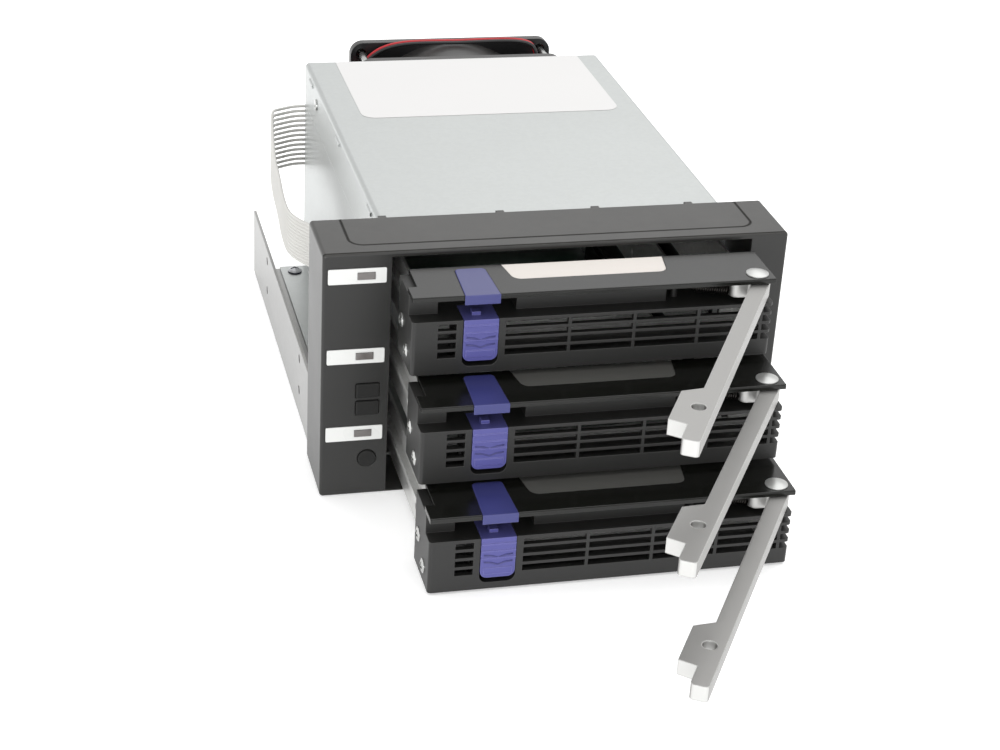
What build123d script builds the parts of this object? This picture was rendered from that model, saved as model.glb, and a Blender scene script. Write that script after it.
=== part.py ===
from build123d import *
import os
from math import cos, radians, sin

# Hot swap drive cage for two 5.25 inch bays. Millimetres, +Z up, +Y towards the back.
# It is built from the bezel's front face backwards; the origin is the middle of the bezel's underside.

# Bezel and the opening for the trays
bezel_width = 149.0
bezel_height = 84.5
bezel_depth = 26.0
bezel_wall = 2.0
bezel_face = 2.2
bezel_corner = 2.4
panel_width = 21.35
right_jamb = 12.15
lip_below = 0.6
lip_above = 1.6
tunnel_wall = 1.4
overrun = 1.0
top_step_depth = 0.4
top_step_inset = 9.5
top_step_front = 6.0
top_step_corner = 4.5
hook_width = 2.6
hook_reach = 2.2
hook_height = 1.3

# Sheet metal cage
sheet = 0.8
cage_inset = 0.55
cage_drop = 1.7
cage_front = 21.5
cage_back = 177.0
cage_corner = 1.6
cover_flange = 16.0
wing_reach = 10.3
fold_gap = 0.1
lance_length = 7.0
lance_height = 0.9
lance_shares = (0.13, 0.52, 0.9)
hook_shares = (0.0, 0.3335, 0.609, 0.8845)

# Mounting brackets of the standard bay width, 146.05 between their outer faces
bezel_overhang = 1.475
bracket_wall = 1.0
bracket_height = 26.0
bracket_back = 170.8
bracket_flange = 19.4
right_flange = 10.0
hole_spacing_y = 79.25
hole_spacing_z = 11.84
hole_first_y = 54.0
hole_first_z = 10.0
hole_radius = 1.6
bracket_screw_places = (64.0, 165.8)

# Round headed fasteners
screw_shank = 1.4
screw_head = 2.7
screw_head_height = 1.7
head_side_share = 0.3
head_arc_share = 0.6
bore_slack = 0.05
recess_share = 1.2
recess_width = 0.8
recess_depth = 0.7

# Trays
tray_side_gap = 1.2
tray_top_gap = 0.1
tray_gap = 1.7
tray_pulls = (26.1, 43.65, 60.8)
module_depth = 20.0
lid_thickness = 1.5
lid_depth = 20.5
lid_notch_width = 2.8
lid_notch_front = 8.0
slot_height = 6.5
face_wall = 1.8
floor_wall = 1.2
side_wall = 4.0
front_corner = 1.2
bar_recess = 5.7
left_block = 8.8
head_recess_gap = 1.6
spring_recess = 28.4
rear_wall_depth = 15.2
rear_wall = 1.4
moving_gap = 0.3

# Vents of the tray front
vent_rows = 4
vent_open_share = 0.693
vent_lowest = 5.3
vent_top = 1.11
short_vent_start = 7.9
short_vent_length = 6.3
long_vent_start = 28.6
long_vent_bay = 19.4
vent_bar_width = 0.95
corner_vent_reach = 5.0

# Latch, tab and label on each tray
latch_width = 10.6
latch_left = 15.7
latch_bottom = 4.0
latch_thickness = 2.5
latch_ledge = 1.2
latch_depth = 10.2
latch_travel = 1.6
latch_gap = 0.2
latch_pocket_corner = 2.4
stub_size = 2.6
stub_height = 1.1
housing_wall = 1.4
tab_front_width = 10.8
tab_back_width = 9.4
tab_length = 18.4
tab_sink = 0.9
tab_proud = 0.25
tab_lip = 0.5
tab_lip_drop = 1.3
tab_corner = 1.6
label_left = 31.4
label_right = 30.4
label_front = 9.8
label_sink = 0.5
label_corner = 3.2
fit_gap = 0.12

# Lever and its pin
pin_inset = 4.7
pin_y = 4.4
pin_radius = 2.0
pin_head = 3.5
pin_head_height = 1.1
pin_foot = 4.0
lever_thickness = 4.8
lever_hub = 4.3
lever_front = 4.3
lever_back = 0.9
lever_end_gap = 1.0
lever_hole_x = 20.1
lever_hole = 2.1
head_near = 11.3
head_far = 9.7
head_back = 6.4
head_slope = 4.0
lobe_reach = 8.6
lobe_half = 2.5
lever_open_angle = 60.0
lever_rest_angles = (60.0, 58.0, 58.2)
lever_round = 1.2

# Lever spring
spring_radius = 1.7
spring_wire = 0.5
spring_reach = 24.8
spring_post_y = 9.0
spring_post = 1.1
spring_loop = 2.0
spring_arm = 6.0

# Metal frame of each tray
rail_thickness = 1.0
rail_inset = 4.15
rail_bottom = 1.0
rail_top_gap = 4.6
rail_tongue_front = 5.0
rail_tongue_low = 2.0
tongue_top_gap = 2.6
rail_tongue_step = 8.6
rail_tongue_back = 9.6
frame_front = 20.4
frame_back = 170.0
strap_height = 1.8
strap_depth = 1.0
runner_height = 2.0
runner_reach = 2.0
runner_low = 13.0
runner_front = 24.0
runner_back = 165.0
window_margin = 5.0
side_screws = ((7.5, 5.1), (15.0, 11.6))
dome_radius = 2.3
dome_height = 0.85

# Side holes of a standard 3.5 inch drive, from its connector end and its underside
drive_end = 168.5
drive_underside = 0.3
drive_hole = 1.7
drive_hole_rise = 6.35
drive_back_hole = 28.5
drive_middle_pitch = 41.6
drive_front_pitch = 101.6

# Guides in the cage
guide_plate = 1.0
guide_front = 24.0
guide_back = 164.0
guide_rib = 1.2
guide_gap = 0.3
rivet_radius = 1.2
rivet_head = 2.1
rivet_head_height = 0.6
rivet_depths = (40.0, 150.0)
rivet_drop = 6.8

# Fan
fan_side_room = 34.4
fan_depth = 25.0
fan_flange = 3.6
fan_corner = 5.0
fan_offset = 3.8
fan_rise = 0.45
fan_rim = 2.2
fan_duct_wall = 1.5
fan_hole = 2.15
fan_hole_inset = 4.25
hub_base = 17.0
hub_base_depth = 2.6
strut_width = 3.4
strut_angles = (20, 110, 200, 290)
rotor_hub = 16.4
rotor_skin = 1.6
rotor_clearance = 0.7
rotor_gap = 0.6
rotor_front_gap = 2.0
blade_count = 7
blade_thickness = 1.3
blade_root_chord = 13.0
blade_tip_chord = 19.0
blade_root_angle = 42.0
blade_tip_angle = 24.0
shaft_radius = 1.5
shaft_slack = 0.04

# Backplane and its sockets
board_thickness = 1.6
board_gap = 1.4
board_margin = 1.2
standoff_radius = 2.6
receptacle_width = 38.0
receptacle_height = 4.6
receptacle_depth = 4.4
receptacle_wall = 1.0
receptacle_low = 4.2
receptacle_x = -12.0
board_vent_sides = 43.8
board_vent_height = 10.0
board_vent_low = 13.0
power_width = 8.4
power_height = 21.2
power_depth = 11.0
power_low = 8.4
power_gap = 0.6
power_ways = 4
socket_wall = 1.0
socket_pit = 6.0
data_width = 6.0
data_height = 14.4
data_depth = 9.0
data_pitch = 22.0
data_low = 10.0
header_width = 6.4
header_height = 27.4
header_low = 39.0
header_depth = 8.6
header_side = 0.6
fan_plug_width = 7.4
fan_plug_height = 9.6
fan_plug_depth = 4.0
fan_plug_gap = 1.3
fan_plug_low = 48.0

# Status panel
board_left_gap = 2.4
panel_board_y = 8.0
panel_board_low = 5.0
panel_board_top = 5.0
panel_post = 1.8
window_left = 1.6
window_right = 1.55
window_height = 5.2
window_depth = 0.9
window_proud = 0.15
window_lowest = 22.4
lens_right = 5.05
lens_width = 5.6
lens_height = 2.4
lens_rise = 0.35
button_right = 2.75
button_width = 7.7
button_height = 5.3
button_levels = (37.5, 31.4)
button_travel = 0.8
button_proud = 0.6
button_flange = 0.9
button_flange_depth = 1.2
round_button_right = 6.35
round_button_z = 13.1
round_button_radius = 2.95
button_slack = 0.15
stem_radius = 1.2

# Ribbon cable
ribbon_thickness = 1.0
ribbon_front_low = 31.0
ribbon_ways = 13
ribbon_pitch = 1.27
comb_pitch = 1.95
comb_gap = 0.5
ribbon_rise_start = 44.0
ribbon_split = 138.0
ribbon_split_low = 43.5
ribbon_spread_end = 168.0
ribbon_clearance = 2.2
ribbon_lead_in = 16.0
ribbon_bulges = (4.6, 12.6, 17.0, 14.9)
ribbon_run_shares = (0.1, 0.27, 0.47)

# Fan leads
lead_radius = 0.7
lead_gap = 0.35
lead_first_y = 188.0
lead_pitch_y = 2.2
lead_first_angle = 34
lead_step_angle = 22.6
lead_steps = 6
gland_length = 5.0
gland_width = 6.0
gland_height = 4.6

# Places worked out from the sizes above
origin_depth = bezel_depth / 2
half_width = bezel_width / 2
device_width = bezel_width - 2 * bezel_overhang
bay_width = bezel_width - panel_width - right_jamb
bay_centre = half_width - right_jamb - bay_width / 2
bay_left = bay_centre - bay_width / 2
bay_right = bay_centre + bay_width / 2
bay_top = bezel_height - lip_above
cage_width = bay_width - 2 * cage_inset
cage_top = bezel_height - cage_drop
seam_height = cage_top - cover_flange
cage_left = bay_centre - cage_width / 2
cage_right = bay_centre + cage_width / 2
floor_low = bracket_wall
floor_top = floor_low + sheet
wall_left = cage_left + sheet + sheet
wall_right = cage_right - sheet - sheet
tray_lowest = lip_below + moving_gap
tray_pitch = (bay_top - tray_top_gap - tray_lowest) / 3
tray_bottoms = [tray_lowest + tray_pitch * level for level in (2, 1, 0)]
tray_width = bay_width - 2 * tray_side_gap
tray_height = tray_pitch - tray_gap
tray_left = bay_centre - tray_width / 2
lower_height = tray_height - lid_thickness - slot_height
lid_under = tray_height - lid_thickness
vent_pitch = (lower_height - vent_lowest - vent_top) / (vent_rows - 1 + vent_open_share)
vent_height = vent_open_share * vent_pitch
latch_middle = latch_left + latch_width / 2
label_width = tray_width - label_left - label_right
pin_x = tray_width - pin_inset
lever_low = lid_under - moving_gap - lever_thickness
lever_reach = pin_x - lever_end_gap
lever_hole_at = pin_x - lever_hole_x
head_start = lever_hole_at - head_near
head_end = lever_hole_at + head_far
head_recess_end = pin_x - head_start + head_recess_gap
spring_recess_start = pin_x - spring_recess
spring_post_x = pin_x - spring_reach
spring_coil_start = spring_post_x + spring_arm
rail_left = rail_inset
rail_right = tray_width - rail_inset
rail_spread = rail_right - rail_left
rail_height = tray_height - rail_bottom - rail_top_gap
board_back = cage_back - sheet - board_gap
board_front = board_back - board_thickness
rivet_height = cage_top - rivet_drop
fan_size = cage_width - fan_side_room
fan_centre_x = bay_centre + fan_offset
fan_centre_z = bezel_height / 2 + fan_rise
fan_bore = fan_size / 2 - fan_rim
fan_duct = fan_bore + fan_duct_wall
fan_hole_spacing = fan_size - 2 * fan_hole_inset
rotor_tip = fan_bore - rotor_clearance
fan_back = cage_back + fan_depth
window_x = (window_left - half_width, panel_width - window_right - half_width)
window_width = window_x[1] - window_x[0]
lens_x = panel_width - lens_right - lens_width / 2 - half_width
button_x = panel_width - button_right - button_width / 2 - half_width
round_button_x = panel_width - round_button_right - half_width


def block(x, y, z, mode=Mode.ADD):
    """A box between two values along each axis, in the part being built."""
    with Locations(((x[0] + x[1]) / 2, (y[0] + y[1]) / 2, (z[0] + z[1]) / 2)):
        Box(x[1] - x[0], y[1] - y[0], z[1] - z[0], mode=mode)


def facing(y):
    """An upright plane at depth y, with X to the right and Z up. It extrudes to the front."""
    return Plane.XZ.offset(-y)


def across(x):
    """An upright plane at x, with Y to the back and Z up. It extrudes to the right."""
    return Plane(origin=(x, 0, 0), x_dir=(0, 1, 0), z_dir=(1, 0, 0))


def write(part, node):
    """Moves a finished piece to the origin below the bezel and writes it under its node's name."""
    placed = Location((0, -origin_depth, 0)) * part
    placed.label = node
    export_step(placed, f"parts/{node}.step")


# Bezel with the tray opening, the panel's cut-outs and the clips over the cover
def make_front_bezel():
    with BuildPart() as front_bezel:
        with BuildSketch(facing(bezel_depth)):
            with Locations((0, bezel_height / 2)):
                Rectangle(bezel_width, bezel_height)
        extrude(amount=bezel_depth)
        fillet(front_bezel.edges().filter_by(Axis.Y), radius=bezel_corner / 2)
        top_front = front_bezel.edges().group_by(Axis.Y)[0].group_by(Axis.Z)[-1]
        fillet(top_front, radius=bezel_corner / 3)
        bay_x = (bay_left, bay_right)
        block(bay_x, (-overrun, bezel_depth + overrun), (lip_below, bay_top), Mode.SUBTRACT)
        hollow_z = (bezel_wall, bezel_height - bezel_wall)
        left_hollow = (bezel_wall - half_width, bay_left - tunnel_wall)
        right_hollow = (bay_right + tunnel_wall, half_width - bezel_wall)
        for hollow_x in (left_hollow, right_hollow):
            block(hollow_x, (bezel_face, bezel_depth + overrun), hollow_z, Mode.SUBTRACT)
        # the shallow stepped field on the top face, open to the back
        with BuildSketch(Plane.XY.offset(bezel_height)) as field:
            field_depth = bezel_depth + top_step_corner - top_step_front
            with Locations((0, top_step_front + field_depth / 2)):
                RectangleRounded(bezel_width - 2 * top_step_inset, field_depth, top_step_corner)
        extrude(amount=-top_step_depth, mode=Mode.SUBTRACT)
        # windows, their light holes and the button holes in the panel
        for row in range(3):
            low = window_lowest + row * tray_pitch - window_height / 2
            block(window_x, (-overrun, window_depth), (low, low + window_height), Mode.SUBTRACT)
            lens_low = low + (window_height - lens_height) / 2
            lens_z = (lens_low, lens_low + lens_height)
            light_x = (lens_x - lens_width / 2, lens_x + lens_width / 2)
            block(light_x, (0, bezel_face + overrun), lens_z, Mode.SUBTRACT)
        for height in button_levels:
            with BuildSketch(facing(0)):
                with Locations((button_x, height)):
                    RectangleRounded(button_width, button_height, front_corner / 2)
            extrude(amount=-bezel_face - overrun, mode=Mode.SUBTRACT)
        with BuildSketch(facing(0)):
            with Locations((round_button_x, round_button_z)):
                Circle(round_button_radius + button_slack)
        extrude(amount=-bezel_face - overrun, mode=Mode.SUBTRACT)
        # posts that carry the panel's board
        with BuildSketch(facing(bezel_face)):
            with Locations(*panel_post_places()):
                Circle(panel_post)
        extrude(amount=bezel_face - panel_board_y)
        # clips that hook over the front edge of the cover
        for centre in hook_places():
            hook_x = (centre - hook_width / 2, centre + hook_width / 2)
            hook_z = (cage_top + fold_gap, cage_top + fold_gap + hook_height)
            block(hook_x, (bezel_depth - overrun, bezel_depth + hook_reach), hook_z)
    return front_bezel.part


def panel_board_sides():
    """Left and right edge of the status board."""
    return (bezel_wall + board_left_gap - half_width, bay_left - tunnel_wall - board_left_gap)


def panel_post_places():
    """The two posts stand near the top and near the foot of the status board."""
    left, right = panel_board_sides()
    inset = panel_post + moving_gap
    high = window_lowest + 1.75 * tray_pitch
    return ((left + inset, high), (left + inset, window_lowest - window_height - inset))


def hook_places():
    """The clips start at the cover's left edge and stop short of its right one."""
    first = cage_left + hook_width / 2
    return [first + share * cage_width for share in hook_shares]


def make_panel_board():
    left, right = panel_board_sides()
    panel_board_high = bezel_height - panel_board_top
    with BuildPart() as panel_board:
        with BuildSketch(facing(panel_board_y)):
            with Locations(((left + right) / 2, (panel_board_low + panel_board_high) / 2)):
                Rectangle(right - left, panel_board_high - panel_board_low)
        extrude(amount=-board_thickness)
        # light emitters behind each lens and a switch behind each button
        for row in range(3):
            height = window_lowest + row * tray_pitch
            lamp = (lens_x - lens_height / 2, lens_x + lens_height / 2)
            lamp_z = (height - lens_height / 2, height + lens_height / 2)
            block(lamp, (bezel_face + window_depth + moving_gap, panel_board_y), lamp_z)
    return panel_board.part


def make_status_windows():
    with BuildPart() as status_windows:
        for row in range(3):
            height = window_lowest + row * tray_pitch
            with BuildSketch(facing(window_depth)):
                with Locations((sum(window_x) / 2, height)):
                    RectangleRounded(window_width - fit_gap, window_height - fit_gap, fit_gap * 4)
                with Locations((lens_x, height)):
                    Rectangle(lens_width, lens_height, mode=Mode.SUBTRACT)
            extrude(amount=window_depth + window_proud)
    return status_windows.part


def make_window_lenses():
    with BuildPart() as window_lenses:
        for row in range(3):
            height = window_lowest + row * tray_pitch
            with BuildSketch(facing(bezel_face)):
                with Locations((lens_x, height)):
                    Rectangle(lens_width - fit_gap, lens_height - fit_gap)
            extrude(amount=bezel_face + window_proud + lens_rise)
            lens_front = window_lenses.faces().group_by(Axis.Y)[0]
            fillet(lens_front.edges().filter_by(Axis.Z), radius=lens_rise / 2)
    return window_lenses.part


def make_cap_button(height):
    """A rectangular push button: cap, retaining flange and the stem towards its switch."""
    with BuildPart() as button:
        with BuildSketch(facing(bezel_face)):
            with Locations((button_x, height)):
                cap = (button_width - 2 * button_slack, button_height - 2 * button_slack)
                RectangleRounded(*cap, front_corner / 2)
        extrude(amount=bezel_face + button_proud)
        chamfer(button.faces().sort_by(Axis.Y)[0].edges(), length=button_proud / 2)
        with BuildSketch(facing(bezel_face + fold_gap + button_flange_depth)):
            with Locations((button_x, height)):
                flange_height = button_height + button_flange / 3
                Rectangle(button_width + 2 * button_flange, flange_height)
        extrude(amount=button_flange_depth)
        with BuildSketch(facing(bezel_face)):
            with Locations((button_x, height)):
                Rectangle(button_width / 2, button_height / 2)
        extrude(amount=-button_flange_depth)
        with BuildSketch(facing(bezel_face + button_flange_depth)):
            with Locations((button_x, height)):
                Circle(stem_radius)
        extrude(amount=bezel_face + button_flange_depth + button_travel + moving_gap - panel_board_y)
    return button.part


def make_round_button():
    with BuildPart() as round_button:
        spot = (round_button_x, round_button_z)
        with BuildSketch(facing(bezel_face + fold_gap)):
            with Locations(spot):
                Circle(round_button_radius)
        extrude(amount=bezel_face + fold_gap + button_proud)
        chamfer(round_button.faces().sort_by(Axis.Y)[0].edges(), length=button_proud / 2)
        with BuildSketch(facing(bezel_face + fold_gap)):
            with Locations(spot):
                Circle(round_button_radius + button_flange)
        extrude(amount=-button_flange_depth)
        with BuildSketch(facing(bezel_face + button_flange_depth)):
            with Locations(spot):
                Circle(stem_radius)
        extrude(amount=bezel_face + button_flange_depth + button_travel + moving_gap - panel_board_y)
    return round_button.part


# Sheet metal of the cage
def make_cage_cover():
    """Top sheet with a folded flange down each side."""
    with BuildPart() as cage_cover:
        with BuildSketch(facing(cage_back)):
            middle = (cage_top + seam_height) / 2
            with Locations((bay_centre, middle)):
                Rectangle(cage_width, cage_top - seam_height)
        extrude(amount=cage_back - cage_front)
        fillet(cage_cover.edges().filter_by(Axis.Y).group_by(Axis.Z)[-1], radius=cage_corner)
        inner = (cage_left + sheet, cage_right - sheet)
        inner_y = (cage_front - overrun, cage_back + overrun)
        block(inner, inner_y, (seam_height - overrun, cage_top - sheet), Mode.SUBTRACT)
        # lanced lugs along both upper edges
        for y in lance_places():
            with BuildSketch(facing(y + lance_length / 2)):
                for side, inward in ((cage_left, 1), (cage_right, -1)):
                    lug_x = side + inward * lance_height / 4
                    with Locations((lug_x, cage_top - cage_corner - lance_height)):
                        Circle(lance_height)
                wide = cage_right - cage_left - 2 * sheet
                with Locations((bay_centre, cage_top - cage_corner)):
                    Rectangle(wide, 4 * lance_height, mode=Mode.SUBTRACT)
            extrude(amount=lance_length)
        for y in rivet_depths:
            cut_round_across(y, rivet_height, rivet_radius + bore_slack)
    return cage_cover.part


def lance_places():
    """The lugs stand near the front, in the middle and near the back."""
    depth = cage_back - cage_front
    return [cage_front + share * depth for share in lance_shares]


def cut_round_across(y, height, radius):
    """A round hole along X through the whole part being built."""
    with BuildSketch(across(-bezel_width)) as hole:
        with Locations((y, height)):
            Circle(radius)
    extrude(hole.sketch, amount=2 * bezel_width, mode=Mode.SUBTRACT)


def wing_screw_x(side):
    """The bracket screws sit in the middle of the base's wings."""
    return bay_centre + side * (cage_width / 2 + wing_reach / 2)


def make_cage_base():
    """Floor with its side wings, and the two side walls inside the cover's flanges."""
    with BuildPart() as cage_base:
        span = (cage_left - wing_reach, device_width / 2 - bracket_wall - fold_gap)
        depth = (bezel_depth + moving_gap, bracket_back)
        block(span, depth, (floor_low, floor_top))
        block((cage_left, cage_right), (cage_front, cage_back), (floor_low, floor_top))
        wall_z = (floor_low, cage_top - sheet - fold_gap)
        wall_y = (cage_front, cage_back)
        block((wall_left - sheet, wall_left), wall_y, wall_z)
        block((wall_right, wall_right + sheet), wall_y, wall_z)
        # hems below the cover's flanges bring the walls out to its face
        hem_z = (floor_low, seam_height - fold_gap)
        block((cage_left, wall_left), wall_y, hem_z)
        block((wall_right, cage_right), wall_y, hem_z)
        for side in (-1, 1):
            x = wing_screw_x(side)
            for y in bracket_screw_places:
                with BuildSketch(Plane.XY.offset(floor_low - overrun)):
                    with Locations((x, y)):
                        Circle(screw_shank + bore_slack)
                extrude(amount=sheet + 2 * overrun, mode=Mode.SUBTRACT)
        for y in rivet_depths:
            cut_round_across(y, rivet_height, rivet_radius + bore_slack)
    return cage_base.part


def make_rivets():
    """Pop rivets that join the cover, the base and the guides."""
    with BuildPart() as cage_rivets:
        for y in rivet_depths:
            for side in (-1, 1):
                outer = bay_centre + side * cage_width / 2
                inner = outer - side * (2 * sheet + guide_plate)
                with BuildSketch(across(outer)):
                    with Locations((y, rivet_height)):
                        Circle(rivet_head)
                extrude(amount=side * rivet_head_height)
                with BuildSketch(across(inner)):
                    with Locations((y, rivet_height)):
                        Circle(rivet_radius)
                extrude(amount=side * abs(outer - inner))
        heads = cage_rivets.edges().filter_by(GeomType.CIRCLE).group_by(Axis.X)
        fillet(heads[0] + heads[-1], radius=rivet_head_height / 2)
    return cage_rivets.part


def make_rear_plate():
    """Back sheet with the fan's grille opening and the sockets' cut-outs."""
    low = floor_top
    high = cage_top - sheet - fold_gap
    with BuildPart() as rear_plate:
        with BuildSketch(facing(cage_back)):
            with Locations((bay_centre, (low + high) / 2)):
                Rectangle(wall_right - wall_left - 2 * fold_gap, high - low)
            with Locations((fan_centre_x, fan_centre_z)):
                Circle(fan_bore - fan_flange / 2, mode=Mode.SUBTRACT)
                with GridLocations(fan_hole_spacing, fan_hole_spacing, 2, 2):
                    Circle(screw_shank + bore_slack, mode=Mode.SUBTRACT)
            for x, z in socket_cutouts():
                width = x[1] - x[0] + 2 * fit_gap
                height = z[1] - z[0] + 2 * fit_gap
                with Locations(((x[0] + x[1]) / 2, (z[0] + z[1]) / 2)):
                    Rectangle(width, height, mode=Mode.SUBTRACT)
        extrude(amount=sheet)
        with BuildSketch(facing(board_back)):
            with Locations(*standoff_places()):
                Circle(standoff_radius)
        extrude(amount=-board_gap)
    return rear_plate.part


def standoff_places():
    """Feet that carry the board, one near each of its corners."""
    inset = standoff_radius + board_margin + fold_gap
    low = floor_top + board_margin + standoff_radius
    high = cage_top - sheet - board_margin - standoff_radius
    left = wall_left + inset
    right = wall_right - inset
    return ((left, low), (right, low), (left, high), (right, high))


def power_sides(socket):
    """Left and right side of a power socket, counted from the left wall."""
    left = wall_left + board_margin + power_gap / 2 + socket * (power_width + power_gap)
    return (left, left + power_width)


def power_heights():
    return (power_low, power_low + power_height)


def data_sides():
    right = wall_right - 2 * board_margin
    return (right - data_width, right)


def data_heights(port):
    low = data_low + port * data_pitch
    return (low, low + data_height)


def header_sides():
    return (wall_left + header_side, wall_left + header_side + header_width)


def header_heights():
    return (header_low, header_low + header_height)


def fan_plug_sides():
    left = header_sides()[1] + fan_plug_gap
    return (left, left + fan_plug_width)


def fan_plug_heights():
    return (fan_plug_low, fan_plug_low + fan_plug_height)


def socket_cutouts():
    """The x and z spans of every socket that passes through the rear plate."""
    spans = [(power_sides(socket), power_heights()) for socket in range(2)]
    spans += [(data_sides(), data_heights(port)) for port in range(3)]
    spans.append((header_sides(), header_heights()))
    spans.append((fan_plug_sides(), fan_plug_heights()))
    return spans


def make_bracket(side):
    """An L of sheet that carries the cage and holds the bay's screw holes."""
    wall_out = side * device_width / 2
    flange = bracket_flange if side < 0 else right_flange
    front = bezel_depth + moving_gap
    with BuildPart() as bracket:
        with BuildSketch(facing(bracket_back)):
            with BuildLine():
                inner = wall_out - side * bracket_wall
                reach = wall_out - side * flange
                Polyline(
                    (wall_out, 0),
                    (reach, 0),
                    (reach, bracket_wall),
                    (inner, bracket_wall),
                    (inner, bracket_height),
                    (wall_out, bracket_height),
                    close=True,
                )
            make_face()
        extrude(amount=bracket_back - front)
        upright = bracket.edges().filter_by(Axis.Y).group_by(Axis.Z)[0]
        fillet(upright.sort_by(Axis.X)[0 if side < 0 else -1], radius=bracket_wall)
        for row in range(2):
            for column in range(2):
                y = hole_first_y + column * hole_spacing_y
                z = hole_first_z + row * hole_spacing_z
                with BuildSketch(across(wall_out + side * overrun)):
                    with Locations((y, z)):
                        Circle(hole_radius)
                extrude(amount=-side * (bracket_wall + 2 * overrun), mode=Mode.SUBTRACT)
        x = wing_screw_x(side)
        for y in bracket_screw_places:
            with BuildSketch(Plane.XY.offset(-overrun)):
                with Locations((x, y)):
                    Circle(screw_shank + bore_slack)
            extrude(amount=bracket_wall + 2 * overrun, mode=Mode.SUBTRACT)
    return bracket.part


def pan_screw(shank_length, head=screw_head, head_height=screw_head_height, shank=screw_shank):
    """Half outline of a round headed screw along Z, with its seat at zero, to be revolved."""
    side = head_height * head_side_share
    dome = head_height - side
    dome_curve = (head**2 + dome**2) / (2 * dome)
    on_arc = head * head_arc_share
    arc_height = head_height - dome_curve + (dome_curve**2 - on_arc**2) ** 0.5
    with BuildLine() as outline:
        Polyline(
            (0, head_height),
            (0, -shank_length),
            (shank, -shank_length),
            (shank, 0),
            (head, 0),
            (head, side),
        )
        ThreePointArc((head, side), (on_arc, arc_height), (0, head_height))
    make_face(outline.edges())


def cut_cross(plane, head):
    """Cross recess for a driver, cut into a head whose top lies in the plane."""
    with BuildSketch(plane) as cross:
        Rectangle(recess_share * head, recess_width)
        Rectangle(recess_width, recess_share * head)
    extrude(cross.sketch, amount=-recess_depth, mode=Mode.SUBTRACT)


def make_bracket_screws():
    with BuildPart() as bracket_screws:
        for side in (-1, 1):
            x = wing_screw_x(side)
            for y in bracket_screw_places:
                with BuildSketch(Plane(origin=(x, y, floor_top), x_dir=(1, 0, 0), z_dir=(0, -1, 0))):
                    pan_screw(sheet + bracket_wall - fold_gap)
                revolve(axis=Axis((x, y, 0), (0, 0, 1)))
                top = Plane.XY.offset(floor_top + screw_head_height)
                cut_cross(top * Plane(origin=(x, y, 0)), screw_head)
    return bracket_screws.part


# Guides
def make_guides(side):
    """A moulded strip on the wall with a channel for each tray's runner."""
    wall = wall_left if side < 0 else wall_right
    plate_face = wall - side * guide_plate
    rib_face = bay_centre + side * (rail_spread / 2 + guide_gap)
    with BuildPart() as guides:
        plate_x = sorted((wall, plate_face))
        guide_y = (guide_front, guide_back)
        block(plate_x, guide_y, (floor_top, cage_top - sheet - 2 * fold_gap))
        for bottom in tray_bottoms:
            below = bottom + runner_low - guide_gap
            above = bottom + runner_low + runner_height + guide_gap
            rib_x = sorted((plate_face, rib_face))
            block(rib_x, guide_y, (below - guide_rib, below))
            block(rib_x, guide_y, (above, above + guide_rib))
        for y in rivet_depths:
            cut_round_across(y, rivet_height, rivet_radius + bore_slack)
    return guides.part


# Backplane and sockets
def make_backplane_board():
    low = floor_top + board_margin
    high = cage_top - sheet - board_margin
    with BuildPart() as backplane_board:
        with BuildSketch(facing(board_back)):
            with Locations((bay_centre, (low + high) / 2)):
                Rectangle(wall_right - wall_left - 2 * board_margin, high - low)
            for bottom in tray_bottoms:
                with Locations((fan_centre_x, bottom + board_vent_low + board_vent_height / 2)):
                    SlotOverall(cage_width - board_vent_sides, board_vent_height, mode=Mode.SUBTRACT)
        extrude(amount=board_thickness)
    return backplane_board.part


def receptacle_heights(bottom):
    low = bottom + rail_bottom + receptacle_low
    return (low, low + receptacle_height)


def make_drive_connectors():
    """One blind-mating receptacle for each drive, with its tongue in a stepped slot."""
    with BuildPart() as drive_connectors:
        for bottom in tray_bottoms:
            low, high = receptacle_heights(bottom)
            with BuildSketch(facing(board_front)):
                with Locations((receptacle_x, (low + high) / 2)):
                    RectangleRounded(receptacle_width, high - low, receptacle_wall / 2)
            extrude(amount=receptacle_depth)
            inner_x = receptacle_width / 2 - receptacle_wall
            split = receptacle_x + receptacle_width / 6
            pit_y = (board_front - receptacle_depth - overrun, board_front - receptacle_wall)
            pit_z = (low + receptacle_wall, high - receptacle_wall)
            for pit in ((receptacle_x - inner_x, split - receptacle_wall / 2),
                        (split + receptacle_wall / 2, receptacle_x + inner_x)):
                block(pit, pit_y, pit_z, Mode.SUBTRACT)
    return drive_connectors.part


def socket_body(x, z, depth, pit):
    """A moulded shell from the board to the back, with a cavity of the given depth."""
    back = board_back + depth
    block(x, (board_back, back), z)
    inner_x = (x[0] + socket_wall, x[1] - socket_wall)
    inner_z = (z[0] + socket_wall, z[1] - socket_wall)
    block(inner_x, (back - pit, back + overrun), inner_z, Mode.SUBTRACT)


def make_power_sockets():
    with BuildPart() as power_sockets:
        for socket in range(2):
            x = power_sides(socket)
            z = power_heights()
            socket_body(x, z, power_depth, socket_pit)
            pitch = (power_height - 2 * socket_wall) / power_ways
            for way in range(power_ways):
                pin_z = z[0] + socket_wall + (way + 0.5) * pitch
                with BuildSketch(facing(board_back + power_depth - socket_pit)):
                    with Locations((sum(x) / 2, pin_z)):
                        Circle(socket_wall)
                extrude(amount=-socket_pit + socket_wall)
    return power_sockets.part


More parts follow.
